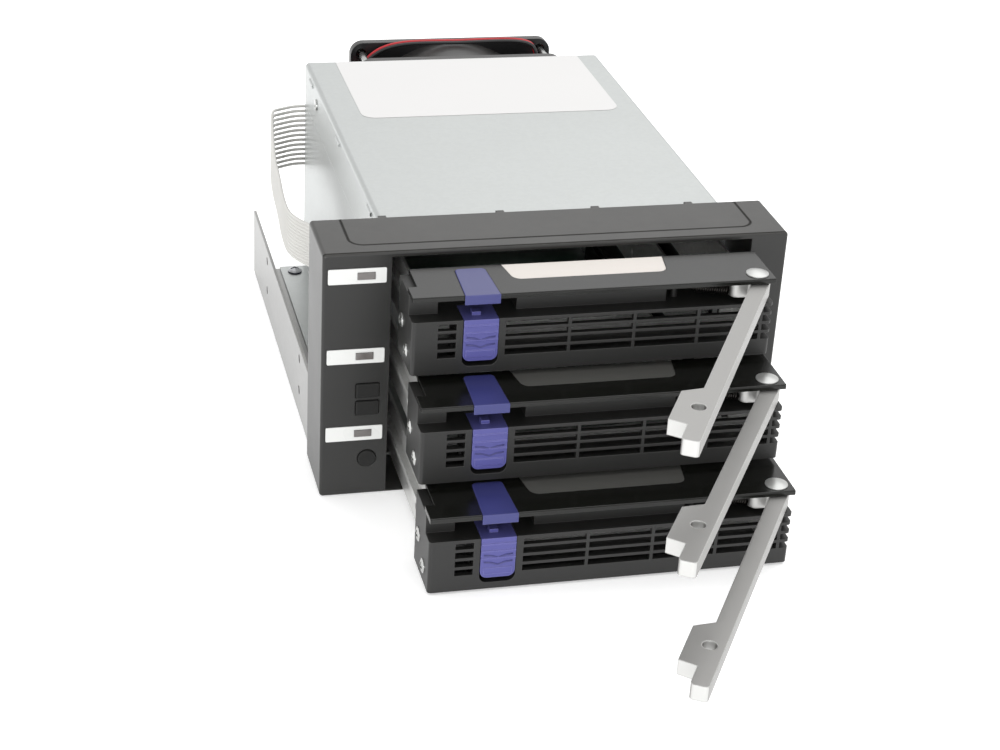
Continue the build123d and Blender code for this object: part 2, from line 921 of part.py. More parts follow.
def make_data_sockets():
    with BuildPart() as data_sockets:
        for port in range(3):
            x = data_sides()
            z = data_heights(port)
            socket_body(x, z, data_depth, socket_pit)
            tongue_x = (sum(x) / 2 - socket_wall / 2, sum(x) / 2 + socket_wall / 2)
            tongue_z = (z[0] + 2 * socket_wall, z[1] - 2 * socket_wall)
            tongue_y = (board_back + data_depth - socket_pit, board_back + data_depth - socket_wall)
            block(tongue_x, tongue_y, tongue_z)
    return data_sockets.part


# Fan
def fan_plane(y):
    """Upright plane through the fan's axis at depth y."""
    return Plane(origin=(fan_centre_x, y, fan_centre_z), x_dir=(1, 0, 0), z_dir=(0, -1, 0))


def make_fan_frame():
    with BuildPart() as fan_frame:
        with BuildSketch(fan_plane(fan_back)):
            RectangleRounded(fan_size, fan_size, fan_corner)
            Circle(fan_bore, mode=Mode.SUBTRACT)
        extrude(amount=fan_depth)
        # the waist between the flanges leaves only the round duct
        with BuildSketch(fan_plane(fan_back - fan_flange)):
            Rectangle(fan_size + 2 * overrun, fan_size + 2 * overrun)
            Circle(fan_duct, mode=Mode.SUBTRACT)
        extrude(amount=fan_depth - 2 * fan_flange, mode=Mode.SUBTRACT)
        with BuildSketch(fan_plane(fan_back)):
            with GridLocations(fan_hole_spacing, fan_hole_spacing, 2, 2):
                Circle(fan_hole)
        extrude(amount=fan_depth, mode=Mode.SUBTRACT)
        # motor base on four struts, with the shaft that carries the rotor
        with BuildSketch(fan_plane(fan_back)):
            Circle(hub_base)
            for turn in strut_angles:
                with Locations(Rotation(0, 0, turn)):
                    with Locations(((hub_base + fan_bore) / 2, 0)):
                        Rectangle(fan_bore - hub_base + 2 * rotor_gap, strut_width)
        extrude(amount=hub_base_depth)
        with BuildSketch(fan_plane(fan_back - hub_base_depth)):
            Circle(shaft_radius)
        extrude(amount=shaft_length())
        # gland on the duct that the leads come out of
        middle_y = lead_first_y + lead_pitch_y / 2
        first = Vector(*ring_point(0, middle_y))
        along = (Vector(*ring_point(1, middle_y)) - first).normalized()
        with BuildSketch(Plane(origin=first, x_dir=(0, 1, 0), z_dir=-along)):
            Rectangle(gland_width, gland_height)
        extrude(amount=gland_length)
    return fan_frame.part


def shaft_length():
    return fan_depth - hub_base_depth - rotor_front_gap - rotor_skin - rotor_gap


def make_fan_rotor():
    """Cup hub with swept blades that twist from root to tip."""
    hub_front = cage_back + rotor_front_gap
    hub_back = fan_back - hub_base_depth - rotor_gap
    with BuildPart() as fan_rotor:
        with BuildSketch(fan_plane(hub_back)):
            Circle(rotor_hub)
        extrude(amount=hub_back - hub_front)
        fillet(fan_rotor.edges().group_by(Axis.Y)[0], radius=rotor_skin)
        middle = (hub_front + hub_back) / 2
        for blade in range(blade_count):
            turn = blade * 360 / blade_count
            out = Vector(cos(radians(turn)), 0, sin(radians(turn)))
            side = Vector(-sin(radians(turn)), 0, cos(radians(turn)))
            shapes = ((rotor_hub - rotor_skin, blade_root_chord, blade_root_angle),
                      (rotor_tip, blade_tip_chord, blade_tip_angle))
            for radius, chord, pitch in shapes:
                centre = Vector(fan_centre_x, middle, fan_centre_z) + out * radius
                chord_dir = side * cos(radians(pitch)) + Vector(0, 1, 0) * sin(radians(pitch))
                with BuildSketch(Plane(origin=centre, x_dir=chord_dir, z_dir=out)):
                    Rectangle(chord, blade_thickness)
            loft()
        # the tips keep clear of the duct all round
        with BuildSketch(fan_plane(fan_back)):
            Circle(fan_size)
            Circle(rotor_tip - rotor_gap, mode=Mode.SUBTRACT)
        extrude(amount=fan_depth, mode=Mode.SUBTRACT)
        with BuildSketch(fan_plane(hub_back)):
            Circle(shaft_radius + shaft_slack)
        extrude(amount=hub_back - hub_front - rotor_skin, mode=Mode.SUBTRACT)
    return fan_rotor.part


def make_fan_screws():
    with BuildPart() as fan_screws:
        reach = fan_hole_spacing / 2
        for side in (-1, 1):
            for level in (-1, 1):
                x = fan_centre_x + side * reach
                z = fan_centre_z + level * reach
                spot = Plane(origin=(x, fan_back, z), x_dir=(1, 0, 0), z_dir=(0, 0, 1))
                with BuildSketch(spot):
                    pan_screw(fan_depth + sheet)
                revolve(axis=Axis((x, 0, z), (0, 1, 0)))
                head_plane = Plane(origin=(x, fan_back + screw_head_height, z), z_dir=(0, 1, 0))
                cut_cross(head_plane, screw_head)
    return fan_screws.part


def ring_point(step, y):
    """A corner of the leads' way round the duct, far enough out for its chords to clear it."""
    ring = (fan_duct + lead_radius + lead_gap) / cos(radians(lead_step_angle / 2))
    turn = radians(lead_first_angle + step * lead_step_angle)
    return (fan_centre_x + ring * cos(turn), y, fan_centre_z + ring * sin(turn))


def lead_points(lead):
    """Round the top of the duct between the flanges, then down to the plug."""
    y = lead_first_y + lead * lead_pitch_y
    points = [ring_point(step, y) for step in range(lead_steps)]
    plug_x = sum(fan_plug_sides()) / 2 + (lead - 0.5) * lead_pitch_y
    plug_z = fan_plug_low + fan_plug_height / 2
    points.append((plug_x, y, plug_z))
    points.append((plug_x, board_back + fan_plug_depth, plug_z))
    return points


def corner_radii(points):
    """The largest tangent arc that each corner's two runs allow."""
    radii = []
    for before, corner, after in zip(points, points[1:], points[2:]):
        first = Vector(*corner) - Vector(*before)
        second = Vector(*after) - Vector(*corner)
        turn = radians(first.get_angle(second))
        run = min(first.length, second.length)
        radii.append(0.45 * run * cos(turn / 2) / sin(turn / 2))
    return radii


def make_fan_lead(lead):
    points = lead_points(lead)
    radii = corner_radii(points)
    with BuildPart() as fan_lead:
        with BuildLine() as route:
            FilletPolyline(*points, radius=radii)
        start = Plane(origin=route.wires()[0] @ 0, z_dir=route.wires()[0] % 0)
        with BuildSketch(start):
            Circle(lead_radius)
        sweep()
    print("fan lead", lead, "volume", round(fan_lead.part.volume, 2), "section times length",
          round(3.14159 * lead_radius**2 * route.wires()[0].length, 2), "radii", [round(r, 1) for r in radii])
    return fan_lead.part


def make_fan_plug():
    x = fan_plug_sides()
    z = fan_plug_heights()
    with BuildPart() as fan_plug:
        block(x, (board_back, board_back + fan_plug_depth), z)
        chamfer(fan_plug.edges().filter_by(Axis.Y), length=socket_wall / 2)
    return fan_plug.part


# Ribbon cable
def ribbon_plan():
    """Plan of the ribbon from the plug's side, out past the cage and in behind the panel."""
    board_x = sum(panel_board_sides()) / 2
    start_y = cage_back + ribbon_clearance
    run = start_y - bezel_depth
    points = [(header_sides()[0], start_y), (cage_left - ribbon_bulges[0], start_y)]
    for bulge, share in zip(ribbon_bulges[1:], ribbon_run_shares):
        points.append((cage_left - bulge, start_y - share * run))
    points.append((board_x, bezel_depth + ribbon_lead_in))
    points.append((board_x, panel_board_y + board_thickness))
    return points


def ribbon_band():
    """Heights of each conductor at the front, where the band splits, and at the header."""
    comb_low = header_low + (header_height - ribbon_ways * comb_pitch + comb_gap) / 2
    rows = []
    for way in range(ribbon_ways):
        front = ribbon_front_low + way * ribbon_pitch
        middle = ribbon_split_low + way * ribbon_pitch
        back = comb_low + way * comb_pitch
        rows.append((front, middle, back))
    return rows


def make_ribbon_cable():
    """The plan's path as an upright wall, cut to the side view of the conductors."""
    points = ribbon_plan()
    radii = corner_radii([(x, y, 0) for x, y in points])
    end_y = points[-1][1]
    high_y = max(y for x, y in points) + ribbon_thickness
    with BuildPart() as ribbon_cable:
        with BuildSketch(Plane.XY.offset(ribbon_front_low - header_depth)):
            with BuildLine():
                FilletPolyline(*points, radius=radii)
            trace(line_width=ribbon_thickness)
        extrude(amount=header_low + header_height)
        with BuildSketch(across(-bezel_width)):
            for front, middle, back in ribbon_band():
                with BuildLine():
                    Polyline(
                        (end_y - overrun, front),
                        (ribbon_rise_start, front),
                        (ribbon_split, middle),
                        (ribbon_spread_end, back),
                        (high_y + overrun, back),
                        (high_y + overrun, back + comb_pitch - comb_gap),
                        (ribbon_spread_end, back + comb_pitch - comb_gap),
                        (ribbon_split, middle + ribbon_pitch),
                        (ribbon_rise_start, front + ribbon_pitch),
                        (end_y - overrun, front + ribbon_pitch),
                        close=True,
                    )
                make_face()
        extrude(amount=2 * bezel_width, mode=Mode.INTERSECT)
    return ribbon_cable.part


def make_ribbon_plugs():
    """The boxed plug at the back and the small one on the status board."""
    x = header_sides()
    z = header_heights()
    with BuildPart() as ribbon_plugs:
        block(x, (board_back, board_back + header_depth), z)
        chamfer(ribbon_plugs.edges().filter_by(Axis.Y), length=socket_wall / 2)
    return ribbon_plugs.part


# Tray pieces, made at the tray's own lower left front corner
def vent_levels():
    return [vent_lowest + row * vent_pitch for row in range(vent_rows)]


def make_tray_front():
    """Moulded front: vented face, ledge, the lever's slot, the latch pocket and the spring's post."""
    with BuildPart() as tray_front:
        with BuildSketch(Plane.XY) as plan:
            with Locations((tray_width / 2, module_depth / 2)):
                Rectangle(tray_width, module_depth)
            fillet(plan.vertices().group_by(Axis.Y)[0], radius=front_corner)
        extrude(amount=lid_under)
        cavity_x = (side_wall, tray_width - side_wall)
        cavity_z = (floor_wall, lower_height - floor_wall)
        back_y = module_depth + overrun
        block(cavity_x, (face_wall, back_y), cavity_z, Mode.SUBTRACT)
        # the lever's slot in plan: a shelf for the bar, deeper for its head and for the spring
        slot_z = (lower_height, lid_under + overrun)
        bar_x = (-overrun, tray_width + overrun)
        block(bar_x, (-overrun, bar_recess), slot_z, Mode.SUBTRACT)
        block((left_block, head_recess_end), (0, rear_wall_depth), slot_z, Mode.SUBTRACT)
        block((spring_recess_start, tray_width + overrun), (0, rear_wall_depth), slot_z, Mode.SUBTRACT)
        behind_face = (bar_recess + rear_wall, rear_wall_depth)
        block((head_recess_end + rear_wall, spring_recess_start - rear_wall), behind_face, slot_z, Mode.SUBTRACT)
        rear_hollow = (rear_wall_depth + rear_wall, back_y)
        block((side_wall, tray_width - side_wall), rear_hollow, slot_z, Mode.SUBTRACT)
        # seat for the pin's foot below the ledge
        with BuildSketch(Plane.XY.offset(lower_height)):
            with Locations((pin_x, pin_y)):
                Circle(lever_hub)
        extrude(amount=-pin_foot)
        # latch housing, then its pocket
        housing_x = (latch_left - latch_gap - housing_wall, latch_left + latch_width + latch_gap + housing_wall)
        pocket_depth = latch_depth + 2 * latch_gap
        block(housing_x, (face_wall / 2, pocket_depth + housing_wall), (0, lower_height))
        with BuildSketch(facing(pocket_depth)):
            pocket_low = latch_bottom - latch_travel - latch_gap
            pocket_width = latch_width + 2 * latch_gap
            pocket_height = lower_height + overrun + latch_pocket_corner - pocket_low
            with Locations((latch_middle, pocket_low + pocket_height / 2)):
                RectangleRounded(pocket_width, pocket_height, latch_pocket_corner)
        extrude(amount=pocket_depth + overrun, mode=Mode.SUBTRACT)
        cut_vents()
        # post for the spring's loop
        with BuildSketch(Plane.XY.offset(lower_height)):
            with Locations((spring_post_x, spring_post_y)):
                Circle(spring_post)
        extrude(amount=slot_height)
        with BuildSketch(Plane.XY.offset(lower_height + overrun)):
            with Locations((pin_x, pin_y)):
                Circle(pin_radius + bore_slack)
        extrude(amount=-pin_foot - overrun, mode=Mode.SUBTRACT)
        for y, height in side_screws:
            cut_round_across(y, height, screw_shank + bore_slack)
    return tray_front.part


def cut_vents():
    """Short slots left of the latch, and long ones that wrap round the right corner."""
    bays = int((tray_width - long_vent_start) // (long_vent_bay + vent_bar_width)) + 1
    for low in vent_levels():
        level = (low, low + vent_height)
        face = (-overrun, face_wall + overrun)
        block((short_vent_start, short_vent_start + short_vent_length - housing_wall / 2), face, level, Mode.SUBTRACT)
        for bay in range(bays):
            start = long_vent_start + bay * (long_vent_bay + vent_bar_width)
            end = start + long_vent_bay
            if bay == bays - 1:
                block((start, tray_width + overrun), (-overrun, corner_vent_reach), level, Mode.SUBTRACT)
            else:
                block((start, end), face, level, Mode.SUBTRACT)


def make_tray_lid():
    with BuildPart() as tray_lid:
        with BuildSketch(Plane.XY.offset(lid_under)):
            with Locations((tray_width / 2, lid_depth / 2)):
                Rectangle(tray_width, lid_depth)
            notch_depth = lid_depth - lid_notch_front
            with Locations((0, lid_notch_front + notch_depth)):
                Rectangle(2 * lid_notch_width, 2 * notch_depth, mode=Mode.SUBTRACT)
        extrude(amount=lid_thickness)
        chamfer(tray_lid.edges().group_by(Axis.Y)[0].group_by(Axis.Z)[-1], length=lid_thickness / 4)
        with BuildSketch(Plane.XY.offset(tray_height)):
            tab_outline(fit_gap)
        extrude(amount=-tab_sink, mode=Mode.SUBTRACT)
        with BuildSketch(Plane.XY.offset(tray_height)):
            label_outline(fit_gap)
        extrude(amount=-label_sink, mode=Mode.SUBTRACT)
        with BuildSketch(Plane.XY.offset(lid_under - overrun)):
            with Locations((pin_x, pin_y)):
                Circle(pin_radius + bore_slack)
        extrude(amount=lid_thickness + 2 * overrun, mode=Mode.SUBTRACT)
    return tray_lid.part


def tab_outline(grow):
    """The tab in plan, a little narrower at the back, with rounded rear corners."""
    middle = latch_middle
    half_front = tab_front_width / 2 + grow
    half_back = tab_back_width / 2 + grow
    back = tab_length + grow
    front = -tab_lip - grow
    with BuildLine() as outline:
        FilletPolyline(
            (middle - half_front, front),
            (middle - half_back, back),
            (middle + half_back, back),
            (middle + half_front, front),
            radius=tab_corner,
        )
        Line((middle + half_front, front), (middle - half_front, front))
    make_face(outline.edges())


def label_outline(grow):
    """The label's recess in plan, open at the lid's back edge, with round front corners."""
    left = label_left - grow
    right = label_left + label_width + grow
    front = label_front - grow
    with BuildLine() as outline:
        FilletPolyline(
            (left, lid_depth),
            (left + label_corner / 2, front),
            (right - label_corner / 2, front),
            (right, lid_depth),
            radius=label_corner,
        )
        Line((right, lid_depth), (left, lid_depth))
    make_face(outline.edges())


def make_tray_label():
    with BuildPart() as tray_label:
        with BuildSketch(Plane.XY.offset(tray_height - label_sink)):
            label_outline(0)
        extrude(amount=label_sink - fit_gap)
    return tray_label.part


def make_tray_tab():
    with BuildPart() as tray_tab:
        with BuildSketch(Plane.XY.offset(tray_height - tab_sink)):
            tab_outline(0)
        extrude(amount=tab_sink + tab_proud)
        middle = latch_middle
        lip_x = (middle - tab_front_width / 2, middle + tab_front_width / 2)
        block(lip_x, (-tab_lip, -fit_gap / 2), (tray_height - lid_thickness - tab_lip_drop, tray_height))
        fillet(tray_tab.edges().group_by(Axis.Z)[-1], radius=tab_proud * 0.8)
    return tray_tab.part


def make_tray_latch():
    """Thumb latch: ribbed face, ledge over the pocket and the stub that enters the lever."""
    middle = latch_middle
    with BuildPart() as tray_latch:
        with BuildSketch(facing(latch_thickness)):
            height = lower_height - latch_bottom
            with Locations((middle, latch_bottom + height / 2)):
                RectangleRounded(latch_width, height, latch_pocket_corner - latch_gap)
            with Locations((middle, lower_height - latch_pocket_corner)):
                Rectangle(latch_width, 2 * latch_pocket_corner)
        extrude(amount=latch_thickness + latch_gap)
        ledge_z = (lower_height - latch_ledge, lower_height)
        block((latch_left, latch_left + latch_width), (0, latch_depth), ledge_z)
        # grip: two bars across the thumb face and a thick pad at its foot
        grip = latch_ledge / 4
        face_y = -latch_gap
        inset = latch_width / 12
        pad_x = (latch_left + inset, latch_left + latch_width - inset)
        low_pad = latch_bottom + latch_ledge
        block(pad_x, (face_y - grip, 0), (low_pad, low_pad + 2 * latch_ledge))
        bar_low = latch_bottom + (lower_height - latch_bottom) * 0.48
        for bar in range(3):
            level = bar_low + bar * 2 * latch_ledge
            block((latch_left, latch_left + latch_width), (face_y - grip, 0), (level, level + latch_ledge / 2))
        bar_edges = tray_latch.edges().filter_by(Axis.X).group_by(Axis.Y)[0]
        chamfer(bar_edges, length=grip * 0.6)
        half = stub_size / 2
        stub_x = (pin_x - lever_hole_at - half, pin_x - lever_hole_at + half)
        stub_y = (pin_y - half, pin_y + half)
        block(stub_x, stub_y, (lower_height - latch_ledge, lower_height + stub_height))
    return tray_latch.part


def make_tray_lever():
    """Cast lever lying closed: hub, spring lobe, bar, and the head with its latch hole and tip."""
    with BuildPart() as tray_lever:
        with BuildSketch(Plane.XY.offset(lever_low)) as plan:
            with BuildLine():
                Polyline(
                    (0, -lever_front),
                    (-lever_reach, -lever_front),
                    (-lever_reach, lever_back),
                    (-head_end - lever_back, lever_back),
                    (-head_end, head_back),
                    (-head_start - head_slope, head_back),
                    (-head_start, lever_back),
                    (0, lever_back),
                    close=True,
                )
            make_face()
            corners = plan.vertices()
            fillet(corners.group_by(Axis.X)[0], radius=lever_round)
            far = [v for v in corners if v.Y > lever_back]
            near = [v for v in corners if v.X < -head_end and v.Y > 0 and v.X > -lever_reach + lever_round]
            fillet(far, radius=lever_round)
            fillet(near, radius=lever_round)
            Circle(lever_hub)
            # the lobe lies along -X when the lever stands open
            with Locations(Rotation(0, 0, 180 - lever_open_angle)):
                with Locations(((lobe_reach - lobe_half) / 2, 0)):
                    SlotOverall(lobe_reach + lobe_half, 2 * lobe_half)
            Circle(pin_radius + bore_slack, mode=Mode.SUBTRACT)
            with Locations((-lever_hole_at, 0)):
                Circle(lever_hole, mode=Mode.SUBTRACT)
        extrude(amount=lever_thickness)
    return tray_lever.part


def make_tray_pin():
    low = lower_height - pin_foot
    with BuildPart() as tray_pin:
        with BuildSketch(Plane(origin=(pin_x, pin_y, tray_height), x_dir=(1, 0, 0), z_dir=(0, -1, 0))):
            pan_screw(tray_height - low, pin_head, pin_head_height, pin_radius)
        revolve(axis=Axis((pin_x, pin_y, 0), (0, 0, 1)))
    return tray_pin.part


def make_tray_spring():
    """Outer shape of the closed coil, the arm to the post and the loop round it."""
    coil_end = pin_x - lobe_reach - moving_gap
    middle_z = lower_height + slot_height / 2
    level = (middle_z - spring_wire / 2, middle_z + spring_wire / 2)
    coil = Vector(coil_end, pin_y, middle_z)
    post = Vector(spring_post_x, spring_post_y, middle_z)
    along = (coil - post).normalized()
    start = post + along * (spring_coil_start - spring_post_x)
    with BuildPart() as tray_spring:
        with BuildSketch(Plane(origin=start, z_dir=along)):
            Circle(spring_radius)
        extrude(amount=(coil - start).length)
        with BuildSketch(Plane.XY.offset(level[0])):
            with Locations((spring_post_x, spring_post_y)):
                Circle(spring_loop)
            with BuildLine():
                arm = (post + along * spring_post, start + along * spring_wire)
                Line(*[(end.X, end.Y) for end in arm])
            trace(line_width=spring_wire)
            with Locations((spring_post_x, spring_post_y)):
                Circle(spring_post + moving_gap / 2, mode=Mode.SUBTRACT)
        extrude(amount=spring_wire)
    return tray_spring.part


def make_tray_frame():
    """Sheet side rails with runners, joined by a vented front plate and a rear strap."""
    rail_z = (rail_bottom, rail_bottom + rail_height)
    with BuildPart() as tray_frame:
        for outer, inward in ((rail_left, 1), (rail_right, -1)):
            rail_x = sorted((outer, outer + inward * rail_thickness))
            block(rail_x, (frame_front, frame_back), rail_z)
            block(rail_x, (rail_tongue_front, frame_front), (rail_tongue_low, rail_tongue_step))
            tongue_z = (rail_tongue_low, lower_height - tongue_top_gap)
            block(rail_x, (rail_tongue_back, frame_front), tongue_z)
            runner_x = sorted((outer, outer - inward * runner_reach))
            runner_z = (runner_low, runner_low + runner_height)
            block(runner_x, (runner_front, runner_back), runner_z)
        span = (rail_left, rail_right)
        plate_y = (frame_front, frame_front + rail_thickness)
        block(span, plate_y, rail_z)
        block((rail_left + window_margin, rail_right - window_margin),
              (frame_front - overrun, frame_front + rail_thickness + overrun),
              (rail_z[0] + window_margin / 2, rail_z[1] - window_margin / 2), Mode.SUBTRACT)
        block(span, (frame_back - strap_depth, frame_back), (rail_bottom, rail_bottom + strap_height))
        for y, height in side_screws:
            cut_round_across(y, height, screw_shank + bore_slack)
        for pitch in (0, drive_middle_pitch, drive_front_pitch):
            hole_y = drive_end - drive_back_hole - pitch
            cut_round_across(hole_y, drive_underside + drive_hole_rise, drive_hole)
    return tray_frame.part


def make_tray_screws():
    with BuildPart() as tray_screws:
        reach = rail_left + 2 * rail_thickness
        for side in (-1, 1):
            x = tray_width / 2 + side * tray_width / 2
            for y, height in side_screws:
                spot = Plane(origin=(x, y, height), x_dir=(0, 0, 1), z_dir=(0, side, 0))
                with BuildSketch(spot):
                    pan_screw(reach, dome_radius, dome_height, screw_shank)
                revolve(axis=Axis((x, y, height), (1, 0, 0)))
                face = x + side * dome_height
                cut_cross(Plane(origin=(face, y, height), z_dir=(side, 0, 0)), dome_radius)
    return tray_screws.part


def write_trays():
    """Three copies of each tray piece at their pulls, with the levers at their open angles."""
    pieces = {
        "frame": make_tray_frame(),
        "front": make_tray_front(),
        "lid": make_tray_lid(),
        "label": make_tray_label(),
        "tab": make_tray_tab(),
        "latch": make_tray_latch(),
        "pin": make_tray_pin(),
        "spring": make_tray_spring(),
        "screws": make_tray_screws(),
    }
    lever = make_tray_lever()
    for tray, pull in enumerate(tray_pulls):
        spot = Location((tray_left, -pull, tray_bottoms[tray]))
        for name, part in pieces.items():
            write(spot * part, f"tray_{tray + 1}_{name}")
        hinge = Location((pin_x, pin_y, 0), (0, 0, lever_rest_angles[tray]))
        write(spot * hinge * lever, f"tray_{tray + 1}_lever")


os.makedirs("parts", exist_ok=True)
write(make_front_bezel(), "front_bezel")
write(make_panel_board(), "panel_board")
write(make_status_windows(), "status_windows")
write(make_window_lenses(), "window_lenses")
write(make_cap_button(button_levels[0]), "upper_button")
write(make_cap_button(button_levels[1]), "lower_button")
write(make_round_button(), "round_button")
write(make_cage_cover(), "cage_cover")
write(make_cage_base(), "cage_base")
write(make_rivets(), "cage_rivets")
write(make_rear_plate(), "rear_plate")
write(make_bracket(-1), "left_bracket")
write(make_bracket(1), "right_bracket")
write(make_bracket_screws(), "bracket_screws")
write(make_guides(-1), "left_guides")
write(make_guides(1), "right_guides")
write(make_backplane_board(), "backplane_board")
write(make_drive_connectors(), "drive_connectors")
write(make_power_sockets(), "power_sockets")
write(make_data_sockets(), "data_sockets")
write(make_fan_frame(), "fan_frame")
write(make_fan_rotor(), "fan_rotor")
write(make_fan_screws(), "fan_screws")
write(make_fan_lead(0), "fan_lead_red")
write(make_fan_lead(1), "fan_lead_black")
write(make_fan_plug(), "fan_plug")
write(make_ribbon_cable(), "ribbon_cable")
write(make_ribbon_plugs(), "ribbon_plug")
write_trays()
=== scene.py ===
"""Dresses the drive cage: finishes, ribbon wires, fan leads, lever springs, labels and a studio."""

import math

import bmesh
import bpy
from mathutils import Matrix, Vector


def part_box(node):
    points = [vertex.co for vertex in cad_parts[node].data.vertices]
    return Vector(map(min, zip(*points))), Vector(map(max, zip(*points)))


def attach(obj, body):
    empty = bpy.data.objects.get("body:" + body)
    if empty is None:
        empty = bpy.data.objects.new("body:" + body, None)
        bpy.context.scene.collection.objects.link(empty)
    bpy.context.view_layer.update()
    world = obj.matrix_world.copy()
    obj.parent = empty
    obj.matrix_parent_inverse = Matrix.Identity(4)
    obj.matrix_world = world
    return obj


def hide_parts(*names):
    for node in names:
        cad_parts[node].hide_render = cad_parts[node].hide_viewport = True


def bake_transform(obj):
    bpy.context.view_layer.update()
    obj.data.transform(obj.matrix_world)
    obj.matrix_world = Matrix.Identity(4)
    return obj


bl_info = {
    "name": "Drive cage dresser",
    "version": (1, 0, 0),
    "blender": (4, 5, 0),
    "location": "View3D > Sidebar > Drive cage",
    "description": "Finishes, wires, springs, labels and studio for the drive cage",
    "category": "Object",
}

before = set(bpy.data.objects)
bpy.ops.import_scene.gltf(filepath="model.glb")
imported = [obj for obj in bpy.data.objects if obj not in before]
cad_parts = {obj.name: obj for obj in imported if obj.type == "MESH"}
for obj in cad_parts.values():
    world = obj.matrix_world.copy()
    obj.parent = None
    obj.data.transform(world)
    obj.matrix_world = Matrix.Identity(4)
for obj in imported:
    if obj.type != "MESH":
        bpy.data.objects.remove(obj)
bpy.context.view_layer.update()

MM = 0.001
TRAYS = (1, 2, 3)

# Places and sizes below are in millimetres

# The spring's post and coil from the lower left corner of a tray's front
POST = Vector((83.6, 9.0, 20.85))
COIL_END = Vector((99.5, 4.4, 20.85))
COIL_START_X = 89.6
COIL_STEPS = 12
# The loop round the post: its radius, and the degrees that it starts at and turns by
LOOP_RADIUS = 1.55
LOOP_STEPS = 15
LOOP_START = 150
LOOP_TURN = 22
# The ribbon's plan from plug to panel
RIBBON_PLAN = (
    (-50.4, 166.2),
    (-57.5, 168.0),
    (-66.5, 158.0),
    (-68.5, 138.0),
    (-69.2, 118.0),
    (-70.2, 100.0),
    (-69.6, 86.0),
    (-61.0, 74.0),
    (-57.0, 60.0),
    (-57.0, 30.0),
    (-60.5, 12.0),
    (-60.5, -3.4),
)
RIBBON_WAYS = 13
# Depth, height of the ribbon's lower edge there, and pitch of its wires
RIBBON_HEIGHTS = (
    (-13.0, 31.0, 1.27),
    (31.0, 31.0, 1.27),
    (84.0, 38.5, 1.27),
    (125.0, 41.5, 1.27),
    (155.0, 42.4, 1.95),
    (166.2, 40.3, 1.95),
)
# Depth behind which the wires run apart, with no skin between them
RIBBON_SPLIT = 127.0
# Width of a wire across the ribbon against its height
WIRE_WIDTH_SHARE = 0.88
# Order of the spline through the ribbon's plan, and its steps from point to point
ROUTE_ORDER = 3
ROUTE_STEPS = 14
# The line of painted shade round the field on the bezel's top, along its step: left, right, front
# and corner radius
FIELD = (-65.0, 65.0, -7.0, 4.5)
# Half the depth of that line's outline, which reaches back past the bezel
FIELD_HALF_DEPTH = 80.0
# Front and back of the painted shadow of the seam before it, and the height above which both are
# drawn
SEAM_SHADE = (-12.6, -11.95)
LINE_LEVEL = 83.8
# The plate that fills the field, from the bezel's own sides and front
FIELD_INSET = 9.53
FIELD_FRONT = 6.03
FIELD_BACK = 25.97
FIELD_CORNER = 4.47
FIELD_THICKNESS = 0.37
# The label on the cover: left, right, front, back, and its clearance from the cover
LABEL_SIDES = (-41.3, 53.4, 104.0, 163.4)
LABEL_LIFT = 0.02
CORNER_STEPS = 8
# The two waves on a latch, from the lower left corner of a tray's front
WAVE_LEVELS = (9.2, 11.6)
WAVE_TURNS = ((16.6, 0.25), (18.9, 0.0), (21.0, -0.75), (23.1, 0.0), (25.4, 0.25))
WAVE_FACE = -0.24
WAVE_SECTION = (0.2, 0.28)
# Turns of the fan leads from the gland to the plug, with half the distance between the two in depth
FAN_LEAD = (
    (42.4, 176.1, 65.6, 1.1),
    (41.4, 178.5, 78.0, 1.1),
    (36.0, 181.5, 83.2, 1.1),
    (10.0, 182.2, 83.4, 1.1),
    (-14.0, 181.8, 83.0, 1.1),
    (-26.0, 180.5, 77.5, 1.1),
    (-33.0, 178.0, 66.0, 1.1),
    (-38.0, 174.0, 55.0, 0.6),
    (-39.0, 170.0, 52.8, 0.0),
    (-39.0, 164.6, 52.8, 0.0),
)
# Half the distance between the two sideways, where they enter the plug
LEAD_HALF_PITCH = 1.1

# The camera in metres, and the ways that it looks and that its picture's right side points
CAMERA_PLACE = Vector((-0.1671, -0.5689, 0.3407))
CAMERA_FORWARD = Vector((0.2306, 0.8558, -0.4631))
CAMERA_RIGHT = Vector((0.971, -0.233, 0.0529))

# How fast a mask rises past its threshold
MASK_GAIN = 6.0
# Heights of a streak and of a painted shade line, also sunk as a bump, against the height of the
# grain
STREAK_HEIGHT = 1.5
LINE_HEIGHT = 14.0
BUMP_STRENGTH = 0.6
DUST = (196, 192, 184)
# Colour sockets of a Mix node, and its colour output
MIX_FIRST = 6
MIX_SECOND = 7
MIX_RESULT = 2


def srgb(red, green, blue):
    """A colour as a painter reads it, turned into the linear values that shaders use."""
    def one(value):
        value /= 255
        return value / 12.92 if value <= 0.04045 else ((value + 0.055) / 1.055) ** 2.4
    return (one(red), one(green), one(blue))


def darker(tint, share):
    return [value * share for value in tint]


def colour(name, description, default):
    """A setting for a colour, with its default as a painter reads it."""
    return bpy.props.FloatVectorProperty(
        name=name, description=description, default=srgb(*default), subtype="COLOR", size=3,
        min=0.0, max=1.0,
    )


def length(name, description, default_mm):
    """A setting for a length, with its default in millimetres."""
    return bpy.props.FloatProperty(
        name=name, description=description, default=default_mm * MM, unit="LENGTH", min=0.0,
        precision=5,
    )


def number(name, description, default):
    """A setting for a plain number."""
    return bpy.props.FloatProperty(name=name, description=description, default=default)


